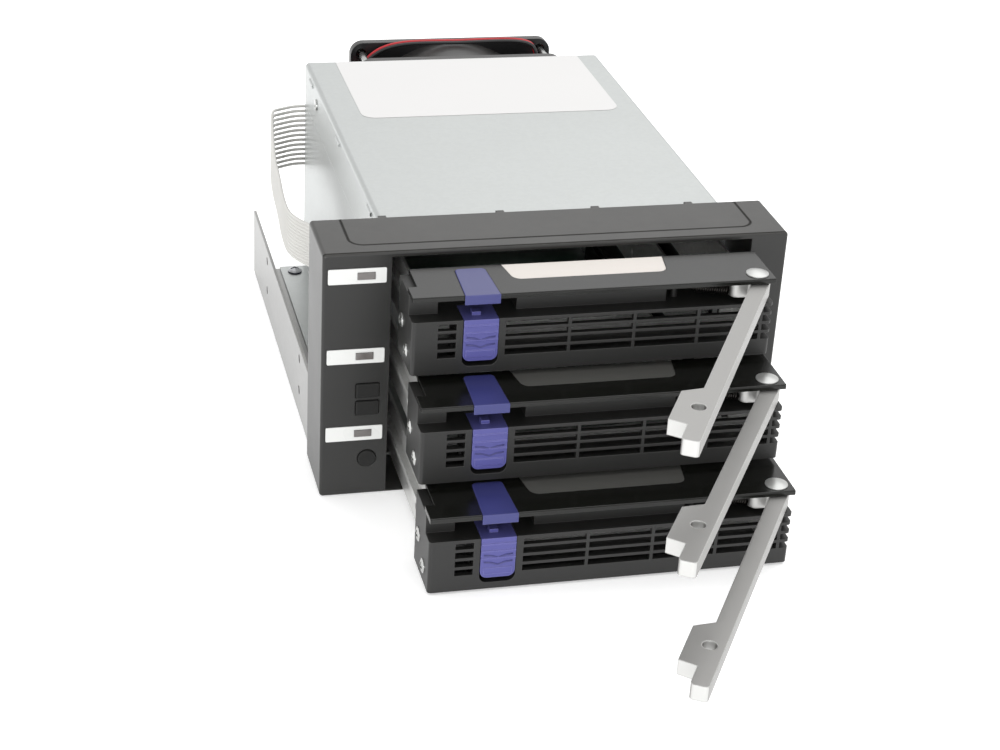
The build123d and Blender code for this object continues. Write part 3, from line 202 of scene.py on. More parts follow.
class CageColours(bpy.types.PropertyGroup):
    bezel: colour("Bezel", "Grained dark moulding of the bezel", (36, 36, 35))
    tray: colour("Tray", "Moulding of the tray fronts", (23, 23, 22))
    lid: colour("Tray lid", "Flat lid over each lever", (11, 12, 9))
    latch: colour("Latch", "Thumb latches", (74, 74, 138))
    tab: colour("Tab", "Tabs on the lids", (55, 58, 114))
    sheet: colour("Sheet", "Zinc plated sheet of the cage", (186, 189, 188))
    bracket: colour("Bracket", "Side brackets", (158, 158, 157))
    lever: colour("Lever", "Cast levers", (154, 153, 151))
    pin: colour("Pin", "Polished pins and screw heads", (188, 189, 187))
    window: colour("Window", "Film of the status windows", (216, 217, 215))
    lens: colour("Lens", "Smoked lenses", (96, 92, 90))
    label: colour("Label", "Bare label on the cover", (214, 213, 212))
    tray_label: colour("Tray label", "Bare label on the upper tray", (214, 208, 202))
    ribbon: colour("Ribbon", "Insulation of the ribbon's wires", (200, 199, 195))
    board: colour("Board", "Solder mask of the boards", (22, 62, 40))
    nylon: colour("Nylon", "Power sockets and fan plug", (232, 229, 218))
    red_lead: colour("Red lead", "Supply lead of the fan", (186, 26, 36))


class CageDetails(bpy.types.PropertyGroup):
    wire: length("Spring wire", "Thickness of the lever springs' wire", 0.5)
    coil: length("Spring coil", "Outer radius of the lever springs", 1.65)
    turns: bpy.props.IntProperty(
        name="Spring turns", description="Closed turns of each lever spring", default=15, min=4
    )
    lead: length("Fan lead", "Thickness of one insulated fan lead", 1.4)
    conductor: length("Conductor", "Thickness of one insulated wire of the ribbon", 1.12)
    web: length("Ribbon web", "Thickness of the skin between the ribbon's wires", 0.4)
    label_thickness: length("Label thickness", "Thickness of the bare label on the cover", 0.12)
    label_corner: length("Label corner", "Corner radius of the bare label on the cover", 5.0)


class CageStudio(bpy.types.PropertyGroup):
    lens: number("Lens", "Focal length of the camera in millimetres", 73.9)
    floor: length("Floor", "Width of the pale floor", 9000.0)
    floor_colour: colour("Floor", "Pale floor", (250, 250, 250))
    key: number("Key light", "Strength of the soft light above", 8.0)
    back: number("Back light", "Strength of the soft light behind", 0.7)
    fill: number("Fill light", "Strength of the light from the front", 16.0)
    glow: number("Floor glow", "Light that the pale floor gives off", 0.36)
    sky: number("Surroundings", "Strength of the white surroundings", 1.0)


# Shared effects, each a node group


def new_group(name, inputs, outputs):
    """An empty shader group with its sockets, and the nodes at its two ends."""
    group = bpy.data.node_groups.new(name, "ShaderNodeTree")
    for socket_name, kind, default in inputs:
        socket = group.interface.new_socket(socket_name, in_out="INPUT", socket_type=kind)
        socket.default_value = default
    for socket_name, kind in outputs:
        group.interface.new_socket(socket_name, in_out="OUTPUT", socket_type=kind)
    return group, group.nodes.new("NodeGroupInput"), group.nodes.new("NodeGroupOutput")


def feed(tree, socket, value):
    """Gives a socket its value, or links another node's socket to it."""
    if isinstance(value, bpy.types.NodeSocket):
        tree.links.new(value, socket)
    else:
        socket.default_value = value


def node(tree, kind, options=None, **inputs):
    """A new node with its options and inputs; i0, i1 and so on stand for an input's number."""
    made = tree.nodes.new(kind)
    for key, value in (options or {}).items():
        setattr(made, key, value)
    for key, value in inputs.items():
        numbered = key[0] == "i" and key[1:].isdigit()
        feed(tree, made.inputs[int(key[1:]) if numbered else key.replace("_", " ")], value)
    return made


def maths(tree, operation, first, second=0.0, clamp=False):
    options = {"operation": operation, "use_clamp": clamp}
    return node(tree, "ShaderNodeMath", options, i0=first, i1=second).outputs[0]


def vectors(tree, operation, first, second=None):
    """The outputs of a vector maths node."""
    made = node(tree, "ShaderNodeVectorMath", {"operation": operation}, i0=first)
    if second is not None:
        feed(tree, made.inputs[1], second)
    return made.outputs


def point_on_piece(tree):
    """Where the shader is on the piece, in the piece's own coordinates."""
    return node(tree, "ShaderNodeTexCoord").outputs["Object"]


FLOAT = "NodeSocketFloat"
VECTOR = "NodeSocketVector"


def soft_edge_group():
    """Rounds the shading of sharp edges and marks them, as a worn or moulded edge catches light."""
    outputs = [("Normal", VECTOR), ("Mask", FLOAT)]
    group, given, result = new_group("Soft edges", [("Radius", FLOAT, 0.0003)], outputs)
    bevel = node(group, "ShaderNodeBevel", {"samples": 4}, Radius=given.outputs["Radius"])
    flat = node(group, "ShaderNodeNewGeometry")
    close = vectors(group, "DOT_PRODUCT", bevel.outputs[0], flat.outputs["Normal"])
    away = maths(group, "SUBTRACT", 1.0, close["Value"])
    mask = maths(group, "MULTIPLY", away, MASK_GAIN, clamp=True)
    group.links.new(bevel.outputs[0], result.inputs["Normal"])
    group.links.new(mask, result.inputs["Mask"])
    return group


def grain_group():
    """Fine moulded or cast grain, with a slow drift of tone under it."""
    inputs = [("Size", FLOAT, 0.0004), ("Drift size", FLOAT, 0.03)]
    group, given, result = new_group("Grain", inputs, [("Height", FLOAT), ("Drift", FLOAT)])
    place = point_on_piece(group)
    fine = maths(group, "DIVIDE", 1.0, given.outputs["Size"])
    slow = maths(group, "DIVIDE", 1.0, given.outputs["Drift size"])
    grain = node(group, "ShaderNodeTexNoise", Vector=place, Scale=fine, Detail=2.0, Roughness=0.6)
    drift = node(group, "ShaderNodeTexNoise", Vector=place, Scale=slow, Detail=3.0, Roughness=0.5)
    group.links.new(grain.outputs["Fac"], result.inputs["Height"])
    group.links.new(drift.outputs["Fac"], result.inputs["Drift"])
    return group


def dust_group():
    """Thin dust that settles on what faces up."""
    inputs = [("Amount", FLOAT, 0.1), ("Size", FLOAT, 0.008)]
    group, given, result = new_group("Settled dust", inputs, [("Mask", FLOAT)])
    geometry = node(group, "ShaderNodeNewGeometry")
    facing = node(group, "ShaderNodeSeparateXYZ", i0=geometry.outputs["Normal"])
    up = maths(group, "MAXIMUM", facing.outputs["Z"], 0.0)
    place = point_on_piece(group)
    scale = maths(group, "DIVIDE", 1.0, given.outputs["Size"])
    cloud = node(group, "ShaderNodeTexNoise", Vector=place, Scale=scale, Detail=6.0, Roughness=0.7)
    settled = maths(group, "MULTIPLY", up, cloud.outputs["Fac"])
    settled = maths(group, "MULTIPLY", settled, given.outputs["Amount"], clamp=True)
    group.links.new(settled, result.inputs["Mask"])
    return group


def rolled_group():
    """Long faint streaks of rolled sheet, and the small flakes of its zinc."""
    inputs = [("Along", VECTOR, (60.0, 900.0, 900.0)), ("Flake size", FLOAT, 0.0012)]
    outputs = [("Streaks", FLOAT), ("Flakes", FLOAT)]
    group, given, result = new_group("Rolled zinc", inputs, outputs)
    place = point_on_piece(group)
    stretched = vectors(group, "MULTIPLY", place, given.outputs["Along"])[0]
    streaks = node(group, "ShaderNodeTexNoise", Vector=stretched, Scale=1.0, Detail=3.0)
    scale = maths(group, "DIVIDE", 1.0, given.outputs["Flake size"])
    flakes = node(group, "ShaderNodeTexVoronoi", {"feature": "F1"}, Vector=place, Scale=scale)
    group.links.new(streaks.outputs["Fac"], result.inputs["Streaks"])
    tone = node(group, "ShaderNodeSeparateColor", i0=flakes.outputs["Color"]).outputs[0]
    group.links.new(tone, result.inputs["Flakes"])
    return group


def band(tree, value, low, high):
    """One where a value lies between two others."""
    above = maths(tree, "GREATER_THAN", value, low)
    return maths(tree, "MULTIPLY", above, maths(tree, "LESS_THAN", value, high))


def past_middle(tree, value, middle, half):
    """How far a value lies beyond half a width from the middle."""
    away = maths(tree, "ABSOLUTE", maths(tree, "SUBTRACT", value, middle))
    return maths(tree, "SUBTRACT", away, half)


def painted_shade_lines_group():
    """Painted shade along the step round the field on the bezel's top, by its distance from it, and
    painted shadow in the seam before.
    """
    group, given, result = new_group("Painted shade lines", [("Width", FLOAT, 0.0006)], [("Mask", FLOAT)])
    place = node(group, "ShaderNodeSeparateXYZ", i0=point_on_piece(group)).outputs
    left, right, front, corner = [value * MM for value in FIELD]
    half_depth = FIELD_HALF_DEPTH * MM
    out_x = past_middle(group, place["X"], (left + right) / 2, (right - left) / 2 - corner)
    out_y = past_middle(group, place["Y"], front + half_depth, half_depth - corner)
    beyond_x = maths(group, "MAXIMUM", out_x, 0.0)
    beyond_y = maths(group, "MAXIMUM", out_y, 0.0)
    beyond = node(group, "ShaderNodeCombineXYZ", i0=beyond_x, i1=beyond_y).outputs[0]
    outside = vectors(group, "LENGTH", beyond)["Value"]
    inside = maths(group, "MINIMUM", maths(group, "MAXIMUM", out_x, out_y), 0.0)
    distance = maths(group, "SUBTRACT", maths(group, "ADD", outside, inside), corner)
    near = maths(group, "DIVIDE", maths(group, "ABSOLUTE", distance), given.outputs["Width"])
    line = maths(group, "SUBTRACT", 1.0, near, clamp=True)
    seam_front, seam_back = [value * MM for value in SEAM_SHADE]
    seam_shade = band(group, place["Y"], seam_front, seam_back)
    on_top = maths(group, "GREATER_THAN", place["Z"], LINE_LEVEL * MM)
    drawn = maths(group, "MULTIPLY", maths(group, "MAXIMUM", line, seam_shade), on_top)
    group.links.new(drawn, result.inputs["Mask"])
    return group


def facing_group():
    """Marks what faces one way on the piece, as a screw's bright top, or the front ends of a
    casting painted lighter as a painted highlight.
    """
    inputs = [("Way", VECTOR, (0.0, 0.0, 1.0)), ("From", FLOAT, 0.6)]
    group, given, result = new_group("Facing", inputs, [("Mask", FLOAT)])
    facing = node(group, "ShaderNodeTexCoord").outputs["Normal"]
    close = vectors(group, "DOT_PRODUCT", facing, given.outputs["Way"])
    above = maths(group, "SUBTRACT", close["Value"], given.outputs["From"])
    mask = maths(group, "MULTIPLY", above, MASK_GAIN, clamp=True)
    group.links.new(mask, result.inputs["Mask"])
    return group


GROUPS = {
    "Soft edges": soft_edge_group,
    "Grain": grain_group,
    "Settled dust": dust_group,
    "Rolled zinc": rolled_group,
    "Painted shade lines": painted_shade_lines_group,
    "Facing": facing_group,
}


def placed(tree, name, **inputs):
    """The outputs of a shared effect in a material, with this material's own values."""
    made = tree.nodes.new("ShaderNodeGroup")
    made.node_tree = bpy.data.node_groups.get(name) or GROUPS[name]()
    for key, value in inputs.items():
        made.inputs[key.replace("_", " ")].default_value = value
    return made.outputs


def mix_colour(tree, share, first, second, blend="MIX"):
    """Mixes two colours, each a plain colour or another node's socket."""
    made = node(tree, "ShaderNodeMix", {"data_type": "RGBA", "blend_type": blend}, i0=share)
    for socket, value in ((MIX_FIRST, first), (MIX_SECOND, second)):
        linked = isinstance(value, bpy.types.NodeSocket)
        feed(tree, made.inputs[socket], value if linked else (*value[:3], 1.0))
    return made.outputs[MIX_RESULT]


def toned(tree, base, tone):
    """A colour made lighter or darker by one value."""
    grey = node(tree, "ShaderNodeCombineColor", i0=tone, i1=tone, i2=tone).outputs[0]
    return mix_colour(tree, 1.0, base, grey, "MULTIPLY")


def span(tree, value, low, high):
    """Spreads a value between nought and one over a range."""
    return node(tree, "ShaderNodeMapRange", i0=value, To_Min=low, To_Max=high).outputs[0]


def finish(
    name, base, rough=(0.4, 0.5), metallic=0.0, edge=None, edge_share=0.5, edge_radius=0.3,
    grain=0.4, grain_depth=0.02, drift=0.12, drift_size=30.0, dust=0.0, rolled=None, coat=0.0,
    specular=0.5, line=None, bright=None, bright_way=(0.0, 0.0, 1.0),
):
    """One material: its colour drifts and wears at edges, and its roughness and bump vary.

    Radii, depths and sizes are in millimetres. rough is the roughness at both ends of the drift,
    line the colour of the painted shade lines, and bright the colour of what faces bright_way.
    """
    material = bpy.data.materials.new(name)
    material.use_nodes = True
    tree = material.node_tree
    shader = tree.nodes["Principled BSDF"]
    edges = placed(tree, "Soft edges", Radius=edge_radius * MM)
    grained = placed(tree, "Grain", Size=grain * MM, Drift_size=drift_size * MM)
    base_colour = toned(tree, base, span(tree, grained["Drift"], 1.0 - drift, 1.0 + drift))
    height = grained["Height"]
    roughness = span(tree, grained["Drift"], rough[0], rough[1])
    if rolled:
        along = [1.0 / (size * MM) for size in rolled["grain"]]
        sheet = placed(tree, "Rolled zinc", Along=along, Flake_size=rolled["flake"] * MM)
        flaked = span(tree, sheet["Flakes"], 1.0 - rolled["tone"], 1.0 + rolled["tone"])
        streaked = span(tree, sheet["Streaks"], 1.0 - rolled["streak"], 1.0 + rolled["streak"])
        base_colour = toned(tree, base_colour, maths(tree, "MULTIPLY", flaked, streaked))
        roughness = maths(tree, "MULTIPLY", roughness, streaked)
        raised = maths(tree, "MULTIPLY", sheet["Streaks"], STREAK_HEIGHT)
        height = maths(tree, "ADD", height, raised)
    if edge:
        worn = maths(tree, "MULTIPLY", edges["Mask"], edge_share)
        base_colour = mix_colour(tree, worn, base_colour, edge)
    # Painted shade: the line colour stands in for the shade in the bezel's step and seam; the
    # roughness and sunk bump along it are surface
    if line:
        lines = placed(tree, "Painted shade lines")["Mask"]
        base_colour = mix_colour(tree, lines, base_colour, line)
        roughness = maths(tree, "ADD", roughness, lines, clamp=True)
        height = maths(tree, "SUBTRACT", height, maths(tree, "MULTIPLY", lines, LINE_HEIGHT))
    if bright:
        shown = placed(tree, "Facing", Way=bright_way)["Mask"]
        base_colour = mix_colour(tree, shown, base_colour, bright)
    if dust:
        settled = placed(tree, "Settled dust", Amount=dust)["Mask"]
        base_colour = mix_colour(tree, settled, base_colour, srgb(*DUST))
        roughness = maths(tree, "ADD", roughness, settled, clamp=True)
    bump = node(
        tree, "ShaderNodeBump", Height=height, Normal=edges["Normal"], Strength=BUMP_STRENGTH,
        Distance=grain_depth * MM,
    )
    tree.links.new(base_colour, shader.inputs["Base Color"])
    tree.links.new(roughness, shader.inputs["Roughness"])
    tree.links.new(bump.outputs[0], shader.inputs["Normal"])
    shader.inputs["Metallic"].default_value = metallic
    shader.inputs["Coat Weight"].default_value = coat
    shader.inputs["Specular IOR Level"].default_value = specular
    return material


def settings():
    """The three groups of settings: colours, details and studio."""
    scene = bpy.context.scene
    return scene.cage_colours, scene.cage_details, scene.cage_studio


def dress(material, *nodes):
    """Puts a finish on CAD nodes through their objects' material slots."""
    for name in nodes:
        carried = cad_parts[name]
        if not carried.material_slots:
            carried.data.materials.append(material)
        for place in carried.material_slots:
            place.link = "OBJECT"
            place.material = material


def each_tray(piece):
    return [f"tray_{tray}_{piece}" for tray in TRAYS]


def tray_point(tray, point):
    """A point counted from the lower left corner of a tray's front, in metres at rest."""
    return Vector(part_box(f"tray_{tray}_front")[0]) + Vector(point) * MM


def mesh_piece(name, shape, material, body):
    """A finished mesh piece from a bmesh: smooth shaded, with its material, body and slot."""
    mesh = bpy.data.meshes.new(name)
    bmesh.ops.recalc_face_normals(shape, faces=shape.faces)
    shape.to_mesh(mesh)
    shape.free()
    piece = bpy.data.objects.new(name, mesh)
    bpy.context.scene.collection.objects.link(piece)
    mesh.materials.append(material)
    mesh.shade_smooth()
    if body:
        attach(piece, body)
    return piece


def tube(shape, points, radii, sides=8, up=Vector((0, 0, 1))):
    """A closed tube along points, with its section's two half widths: across and up."""
    rings = []
    for index, point in enumerate(points):
        before = points[max(index - 1, 0)]
        after = points[min(index + 1, len(points) - 1)]
        along = (after - before).normalized()
        side = along.cross(up)
        if side.length < 1e-6:
            side = along.cross(Vector((1, 0, 0)))
        side.normalize()
        lift = side.cross(along).normalized()
        ring = []
        for turn in range(sides):
            angle = 2 * math.pi * turn / sides
            across = side * radii[0] * math.cos(angle)
            ring.append(shape.verts.new(point + across + lift * radii[1] * math.sin(angle)))
        rings.append(ring)
    for first, second in zip(rings, rings[1:]):
        for turn in range(sides):
            after = (turn + 1) % sides
            shape.faces.new((first[turn], first[after], second[after], second[turn]))
    shape.faces.new(rings[0])
    shape.faces.new(rings[-1])


def plate(shape, outline, low, high):
    """A flat closed plate from an outline of plan points between two heights."""
    bottom = [shape.verts.new((x, y, low)) for x, y in outline]
    top = [shape.verts.new((x, y, high)) for x, y in outline]
    shape.faces.new(bottom[::-1])
    shape.faces.new(top)
    for index in range(len(outline)):
        after = (index + 1) % len(outline)
        shape.faces.new((bottom[index], bottom[after], top[after], top[index]))


def front_rounded(left, right, front, back, corner):
    """Plan outline of a rectangle with its two front corners rounded."""
    outline = [(left, back)]
    for centre_x, first in ((left + corner, 180), (right - corner, 270)):
        for step in range(CORNER_STEPS + 1):
            angle = math.radians(first + step * 90 / CORNER_STEPS)
            y = front + corner + corner * math.sin(angle)
            outline.append((centre_x + corner * math.cos(angle), y))
    outline.append((right, back))
    return outline


class CAGE_OT_bezel(bpy.types.Operator):
    """Grained bezel, its status windows and lenses, and the three push buttons"""
    bl_idname = "cage.bezel"
    bl_label = "Bezel and panel"

    def execute(self, context):
        tints, _, _ = settings()
        # The near-black line colour below is painted shade along the step round the top field and a
        # painted shadow in the seam at the front edge
        bezel = finish(
            "Grained bezel moulding", tints.bezel, rough=(0.27, 0.38), edge=srgb(104, 104, 102),
            edge_share=0.15, edge_radius=0.5, grain=0.32, grain_depth=0.03, drift=0.06, dust=0.08,
            specular=0.42, line=srgb(6, 6, 6),
        )
        dress(bezel, "front_bezel")
        low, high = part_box("front_bezel")
        left, right = low[0] + FIELD_INSET * MM, high[0] - FIELD_INSET * MM
        front, back = low[1] + FIELD_FRONT * MM, low[1] + FIELD_BACK * MM
        outline = front_rounded(left, right, front, back, FIELD_CORNER * MM)
        shape = bmesh.new()
        plate(shape, outline, high[2] - FIELD_THICKNESS * MM, high[2])
        field = mesh_piece("bezel_field", shape, bezel, "cage")
        field.data.shade_flat()
        film = finish(
            "White window film", tints.window, rough=(0.22, 0.32), edge=srgb(170, 170, 170),
            edge_share=0.5, edge_radius=0.15, grain=0.8, grain_depth=0.004, drift=0.03, coat=0.3,
        )
        dress(film, "status_windows")
        lens = finish(
            "Smoked lens", tints.lens, rough=(0.08, 0.16), edge=srgb(150, 150, 150), edge_share=0.5,
            edge_radius=0.2, grain=1.5, grain_depth=0.003, drift=0.2, drift_size=2.0, coat=0.8,
        )
        dress(lens, "window_lenses")
        cap = finish(
            "Satin button cap", darker(tints.bezel, 0.5), rough=(0.42, 0.54), edge=srgb(80, 80, 78),
            edge_share=0.3, edge_radius=0.25, grain=0.25, grain_depth=0.015, drift=0.05,
            specular=0.25,
        )
        dress(cap, "upper_button", "lower_button", "round_button")
        return {"FINISHED"}


class CAGE_OT_sheet(bpy.types.Operator):
    """Zinc plated sheets, brackets, guides, screws and rivets of the cage"""
    bl_idname = "cage.sheet"
    bl_label = "Sheet metal"

    def execute(self, context):
        tints, _, _ = settings()
        rolled = {"grain": (14.0, 0.9, 0.9), "flake": 1.3, "tone": 0.018, "streak": 0.02}
        sheet = finish(
            "Rolled zinc sheet", tints.sheet, rough=(0.30, 0.42), metallic=0.9,
            edge=srgb(245, 246, 246), edge_share=0.5, edge_radius=0.35, grain=0.5,
            grain_depth=0.004, drift=0.03, dust=0.06, rolled=rolled,
        )
        dress(sheet, "cage_cover", "cage_base", "rear_plate")
        rolled = {"grain": (0.9, 14.0, 0.9), "flake": 1.1, "tone": 0.04, "streak": 0.05}
        bracket = finish(
            "Bracket sheet", tints.bracket, rough=(0.28, 0.4), metallic=0.9,
            edge=srgb(240, 240, 240), edge_share=0.5, edge_radius=0.25, grain=0.5,
            grain_depth=0.008, drift=0.06, dust=0.08, rolled=rolled,
        )
        dress(bracket, "left_bracket", "right_bracket")
        screw = finish(
            "Plated screw head", tints.pin, rough=(0.16, 0.28), metallic=1.0,
            edge=srgb(250, 250, 248), edge_share=0.4, edge_radius=0.15, grain=0.3,
            grain_depth=0.006, drift=0.12, drift_size=3.0,
        )
        dress(screw, "cage_rivets", "fan_screws", *each_tray("screws"))
        blued = finish(
            "Blued screw with a bright top", srgb(36, 37, 62), rough=(0.24, 0.36), metallic=0.6,
            edge_radius=0.15, grain=0.3, grain_depth=0.006, drift=0.1, drift_size=3.0,
            bright=srgb(196, 197, 200),
        )
        dress(blued, "bracket_screws")
        guide = finish(
            "Guide moulding", srgb(30, 30, 30), rough=(0.36, 0.48), edge=srgb(80, 80, 80),
            edge_share=0.3, edge_radius=0.2, grain=0.3, grain_depth=0.015, dust=0.05,
        )
        dress(guide, "left_guides", "right_guides")
        return {"FINISHED"}


class CAGE_OT_trays(bpy.types.Operator):
    """Moulded tray fronts with their lids, blue tabs and latches, labels and metal frames"""
    bl_idname = "cage.trays"
    bl_label = "Trays"

    def execute(self, context):
        tints, _, _ = settings()
        front = finish(
            "Grained tray moulding", tints.tray, rough=(0.38, 0.52), edge=srgb(96, 96, 94),
            edge_share=0.35, edge_radius=0.3, grain=0.28, grain_depth=0.02, drift=0.08, dust=0.02,
        )
        dress(front, *each_tray("front"))
        lid = finish(
            "Satin lid", tints.lid, rough=(0.18, 0.26), edge=srgb(96, 96, 94), edge_share=0.4,
            edge_radius=0.3, grain=0.22, grain_depth=0.01, drift=0.06, dust=0.006, specular=0.44,
        )
        dress(lid, *each_tray("lid"))
        blue = finish(
            "Blue thumb latch", tints.latch, rough=(0.34, 0.46), edge=srgb(146, 144, 214),
            edge_share=0.45, edge_radius=0.35, grain=0.25, grain_depth=0.015, drift=0.06, dust=0.04,
        )
        dress(blue, *each_tray("latch"))
        # Painted shade: the waves take the latch's blue darkened, which stands for the shade along
        # their lines
        wave_shade = finish(
            "Blue latch waves in painted shade", darker(tints.latch, 0.68), rough=(0.3, 0.4), edge_radius=0.1,
            grain=0.25, grain_depth=0.01, drift=0.05,
        )
        for tray in TRAYS:
            shape = bmesh.new()
            for level in WAVE_LEVELS:
                points = [tray_point(tray, (x, WAVE_FACE, level + rise)) for x, rise in WAVE_TURNS]
                tube(shape, points, [half * MM for half in WAVE_SECTION], sides=6)
            mesh_piece(f"tray_{tray}_latch_waves", shape, wave_shade, f"latch_{tray}")
        blue = finish(
            "Blue tab", tints.tab, rough=(0.2, 0.3), edge=srgb(120, 120, 186), edge_share=0.4,
            edge_radius=0.35, grain=0.25, grain_depth=0.012, drift=0.05, dust=0.01,
        )
        dress(blue, *each_tray("tab"))
        # Painted shade: the labels on trays 2 and 3 are white like tray 1's, and their grey colour
        # stands for the shadow of the tray above
        film = finish(
            "White label film in painted shade", srgb(84, 84, 81), rough=(0.26, 0.36), grain=0.6, grain_depth=0.006,
            drift=0.05, edge=srgb(120, 120, 118), edge_share=0.3, edge_radius=0.15,
        )
        dress(film, "tray_2_label", "tray_3_label")
        bare = finish(
            "Bare white label", tints.tray_label, rough=(0.42, 0.52), grain=0.5, grain_depth=0.006,
            drift=0.02, edge=srgb(205, 200, 192), edge_share=0.5, edge_radius=0.2,
        )
        dress(bare, "tray_1_label")
        rolled = {"grain": (0.9, 12.0, 0.9), "flake": 1.0, "tone": 0.04, "streak": 0.06}
        rail = finish(
            "Tray sheet", srgb(216, 216, 214), rough=(0.34, 0.46), metallic=0.75,
            edge=srgb(240, 240, 238), edge_share=0.5, edge_radius=0.2, grain=0.4, grain_depth=0.008,
            drift=0.06, rolled=rolled,
        )
        dress(rail, *each_tray("frame"))
        return {"FINISHED"}


class CAGE_OT_levers(bpy.types.Operator):
    """Cast levers and their polished pins"""
    bl_idname = "cage.levers"
    bl_label = "Levers and pins"

    def execute(self, context):
        tints, _, _ = settings()
        # The bright colour facing the front below is a painted highlight on the levers' ends,
        # standing in for the light from the front
        cast = finish(
            "Tumbled casting with painted highlight", tints.lever, rough=(0.36, 0.5), metallic=0.75,
            edge=srgb(248, 248, 246), edge_share=0.6, edge_radius=0.55, grain=0.35,
            grain_depth=0.02, drift=0.05, drift_size=9.0, bright=srgb(202, 202, 200),
            bright_way=(-0.3, -0.954, 0.0),
        )
        dress(cast, *each_tray("lever"))
        pin = finish(
            "Polished pin", tints.pin, rough=(0.3, 0.42), metallic=0.7, edge=srgb(255, 255, 255),
            edge_share=0.4, edge_radius=0.3, grain=0.4, grain_depth=0.004, drift=0.06,
            drift_size=3.0,
        )
        dress(pin, *each_tray("pin"))
        return {"FINISHED"}


class CAGE_OT_back(bpy.types.Operator):
    """Fan, its plug, the sockets and connectors, and the boards"""
    bl_idname = "cage.back"
    bl_label = "Fan, sockets and boards"

    def execute(self, context):
        tints, _, _ = settings()
        fan = finish(
            "Fan moulding", srgb(30, 30, 31), rough=(0.28, 0.4), edge=srgb(92, 92, 92),
            edge_share=0.3, edge_radius=0.4, grain=0.35, grain_depth=0.012, drift=0.08, dust=0.10,
        )
        dress(fan, "fan_frame", "fan_rotor")
        nylon = finish(
            "Socket nylon", tints.nylon, rough=(0.3, 0.42), edge=srgb(250, 248, 240),
            edge_share=0.4, edge_radius=0.2, grain=0.4, grain_depth=0.008, drift=0.04,
        )
        dress(nylon, "power_sockets", "fan_plug")
        dark = finish(
            "Black connector", srgb(26, 26, 27), rough=(0.3, 0.44), edge=srgb(84, 84, 84),
            edge_share=0.3, edge_radius=0.2, grain=0.3, grain_depth=0.01, drift=0.06,
        )
        dress(dark, "data_sockets", "drive_connectors", "ribbon_plug")
        board = finish(
            "Green solder mask", tints.board, rough=(0.2, 0.32), edge=srgb(150, 140, 100),
            edge_share=0.5, edge_radius=0.15, grain=1.2, grain_depth=0.01, drift=0.12,
            drift_size=8.0, coat=0.3,
        )
        dress(board, "backplane_board", "panel_board")
        return {"FINISHED"}


def route_points(plan):
    """Points on the floor along the NURBS spline that has the plan's points as control points."""
    data = bpy.data.curves.new("route", "CURVE")
    data.dimensions = "3D"
    spline = data.splines.new("NURBS")
    spline.points.add(len(plan) - 1)
    for point, (x, y) in zip(spline.points, plan):
        point.co = (x * MM, y * MM, 0.0, 1.0)
    spline.order_u = ROUTE_ORDER
    spline.use_endpoint_u = True
    spline.resolution_u = ROUTE_STEPS
    carrier = bpy.data.objects.new("route", data)
    bpy.context.scene.collection.objects.link(carrier)
    bpy.context.view_layer.update()
    line = bpy.data.meshes.new_from_object(carrier)
    points = [vertex.co.copy() for vertex in line.vertices]
    bpy.data.objects.remove(carrier)
    bpy.data.curves.remove(data)
    bpy.data.meshes.remove(line)
    return points


def smooth_line(turns, steps=7):
    """Points of a smooth curve that passes through every turn."""
    line = []
    for index in range(len(turns) - 1):
        before = turns[max(index - 1, 0)]
        start, end = turns[index], turns[index + 1]
        after = turns[min(index + 2, len(turns) - 1)]
        for step in range(steps):
            share = step / steps
            line.append(0.5 * (
                2 * start + (end - before) * share
                + (2 * before - 5 * start + 4 * end - after) * share ** 2
                + (3 * start - before - 3 * end + after) * share ** 3
            ))
    line.append(turns[-1])
    return line


def conductor_height(y, way):
    """Height of one wire of the ribbon where it passes a depth."""
    for first, second in zip(RIBBON_HEIGHTS, RIBBON_HEIGHTS[1:]):
        if y <= second[0]:
            share = (y - first[0]) / (second[0] - first[0])
            share = share * share * (3 - 2 * share)
            low, pitch = [a + share * (b - a) for a, b in zip(first[1:], second[1:])]
            return low + (way + 0.5) * pitch
    _, low, pitch = RIBBON_HEIGHTS[-1]
    return low + (way + 0.5) * pitch


class CAGE_OT_leads(bpy.types.Operator):
    """Red and black fan leads, from the duct's gland over the frame's top to their plug"""
    bl_idname = "cage.leads"
    bl_label = "Fan leads"

    def execute(self, context):
        tints, details, _ = settings()
        red = finish(
            "Red insulation", tints.red_lead, rough=(0.28, 0.4), edge_radius=0.1, grain=0.4,
            grain_depth=0.004, drift=0.08, drift_size=6.0,
        )
        black = finish(
            "Black insulation", srgb(24, 24, 25), rough=(0.28, 0.4), edge_radius=0.1, grain=0.4,
            grain_depth=0.004, drift=0.08, drift_size=6.0,
        )
        radius = details.lead / 2
        leads = (("red", red, "red_lead", 1.0), ("black", black, "black_lead", -1.0))
        for name, insulation, slot, side in leads:
            turns = [Vector((x, y + side * spread, z)) for x, y, z, spread in FAN_LEAD]
            for turn in turns[-2:]:
                turn.x += side * LEAD_HALF_PITCH
            points = [point * MM for point in smooth_line(turns)]
            shape = bmesh.new()
            tube(shape, points, (radius, radius), up=Vector((0, 1, 0)))
            lead = mesh_piece(f"fan_wire_{name}", shape, insulation, "cage")
            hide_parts(f"fan_lead_{name}")
        return {"FINISHED"}


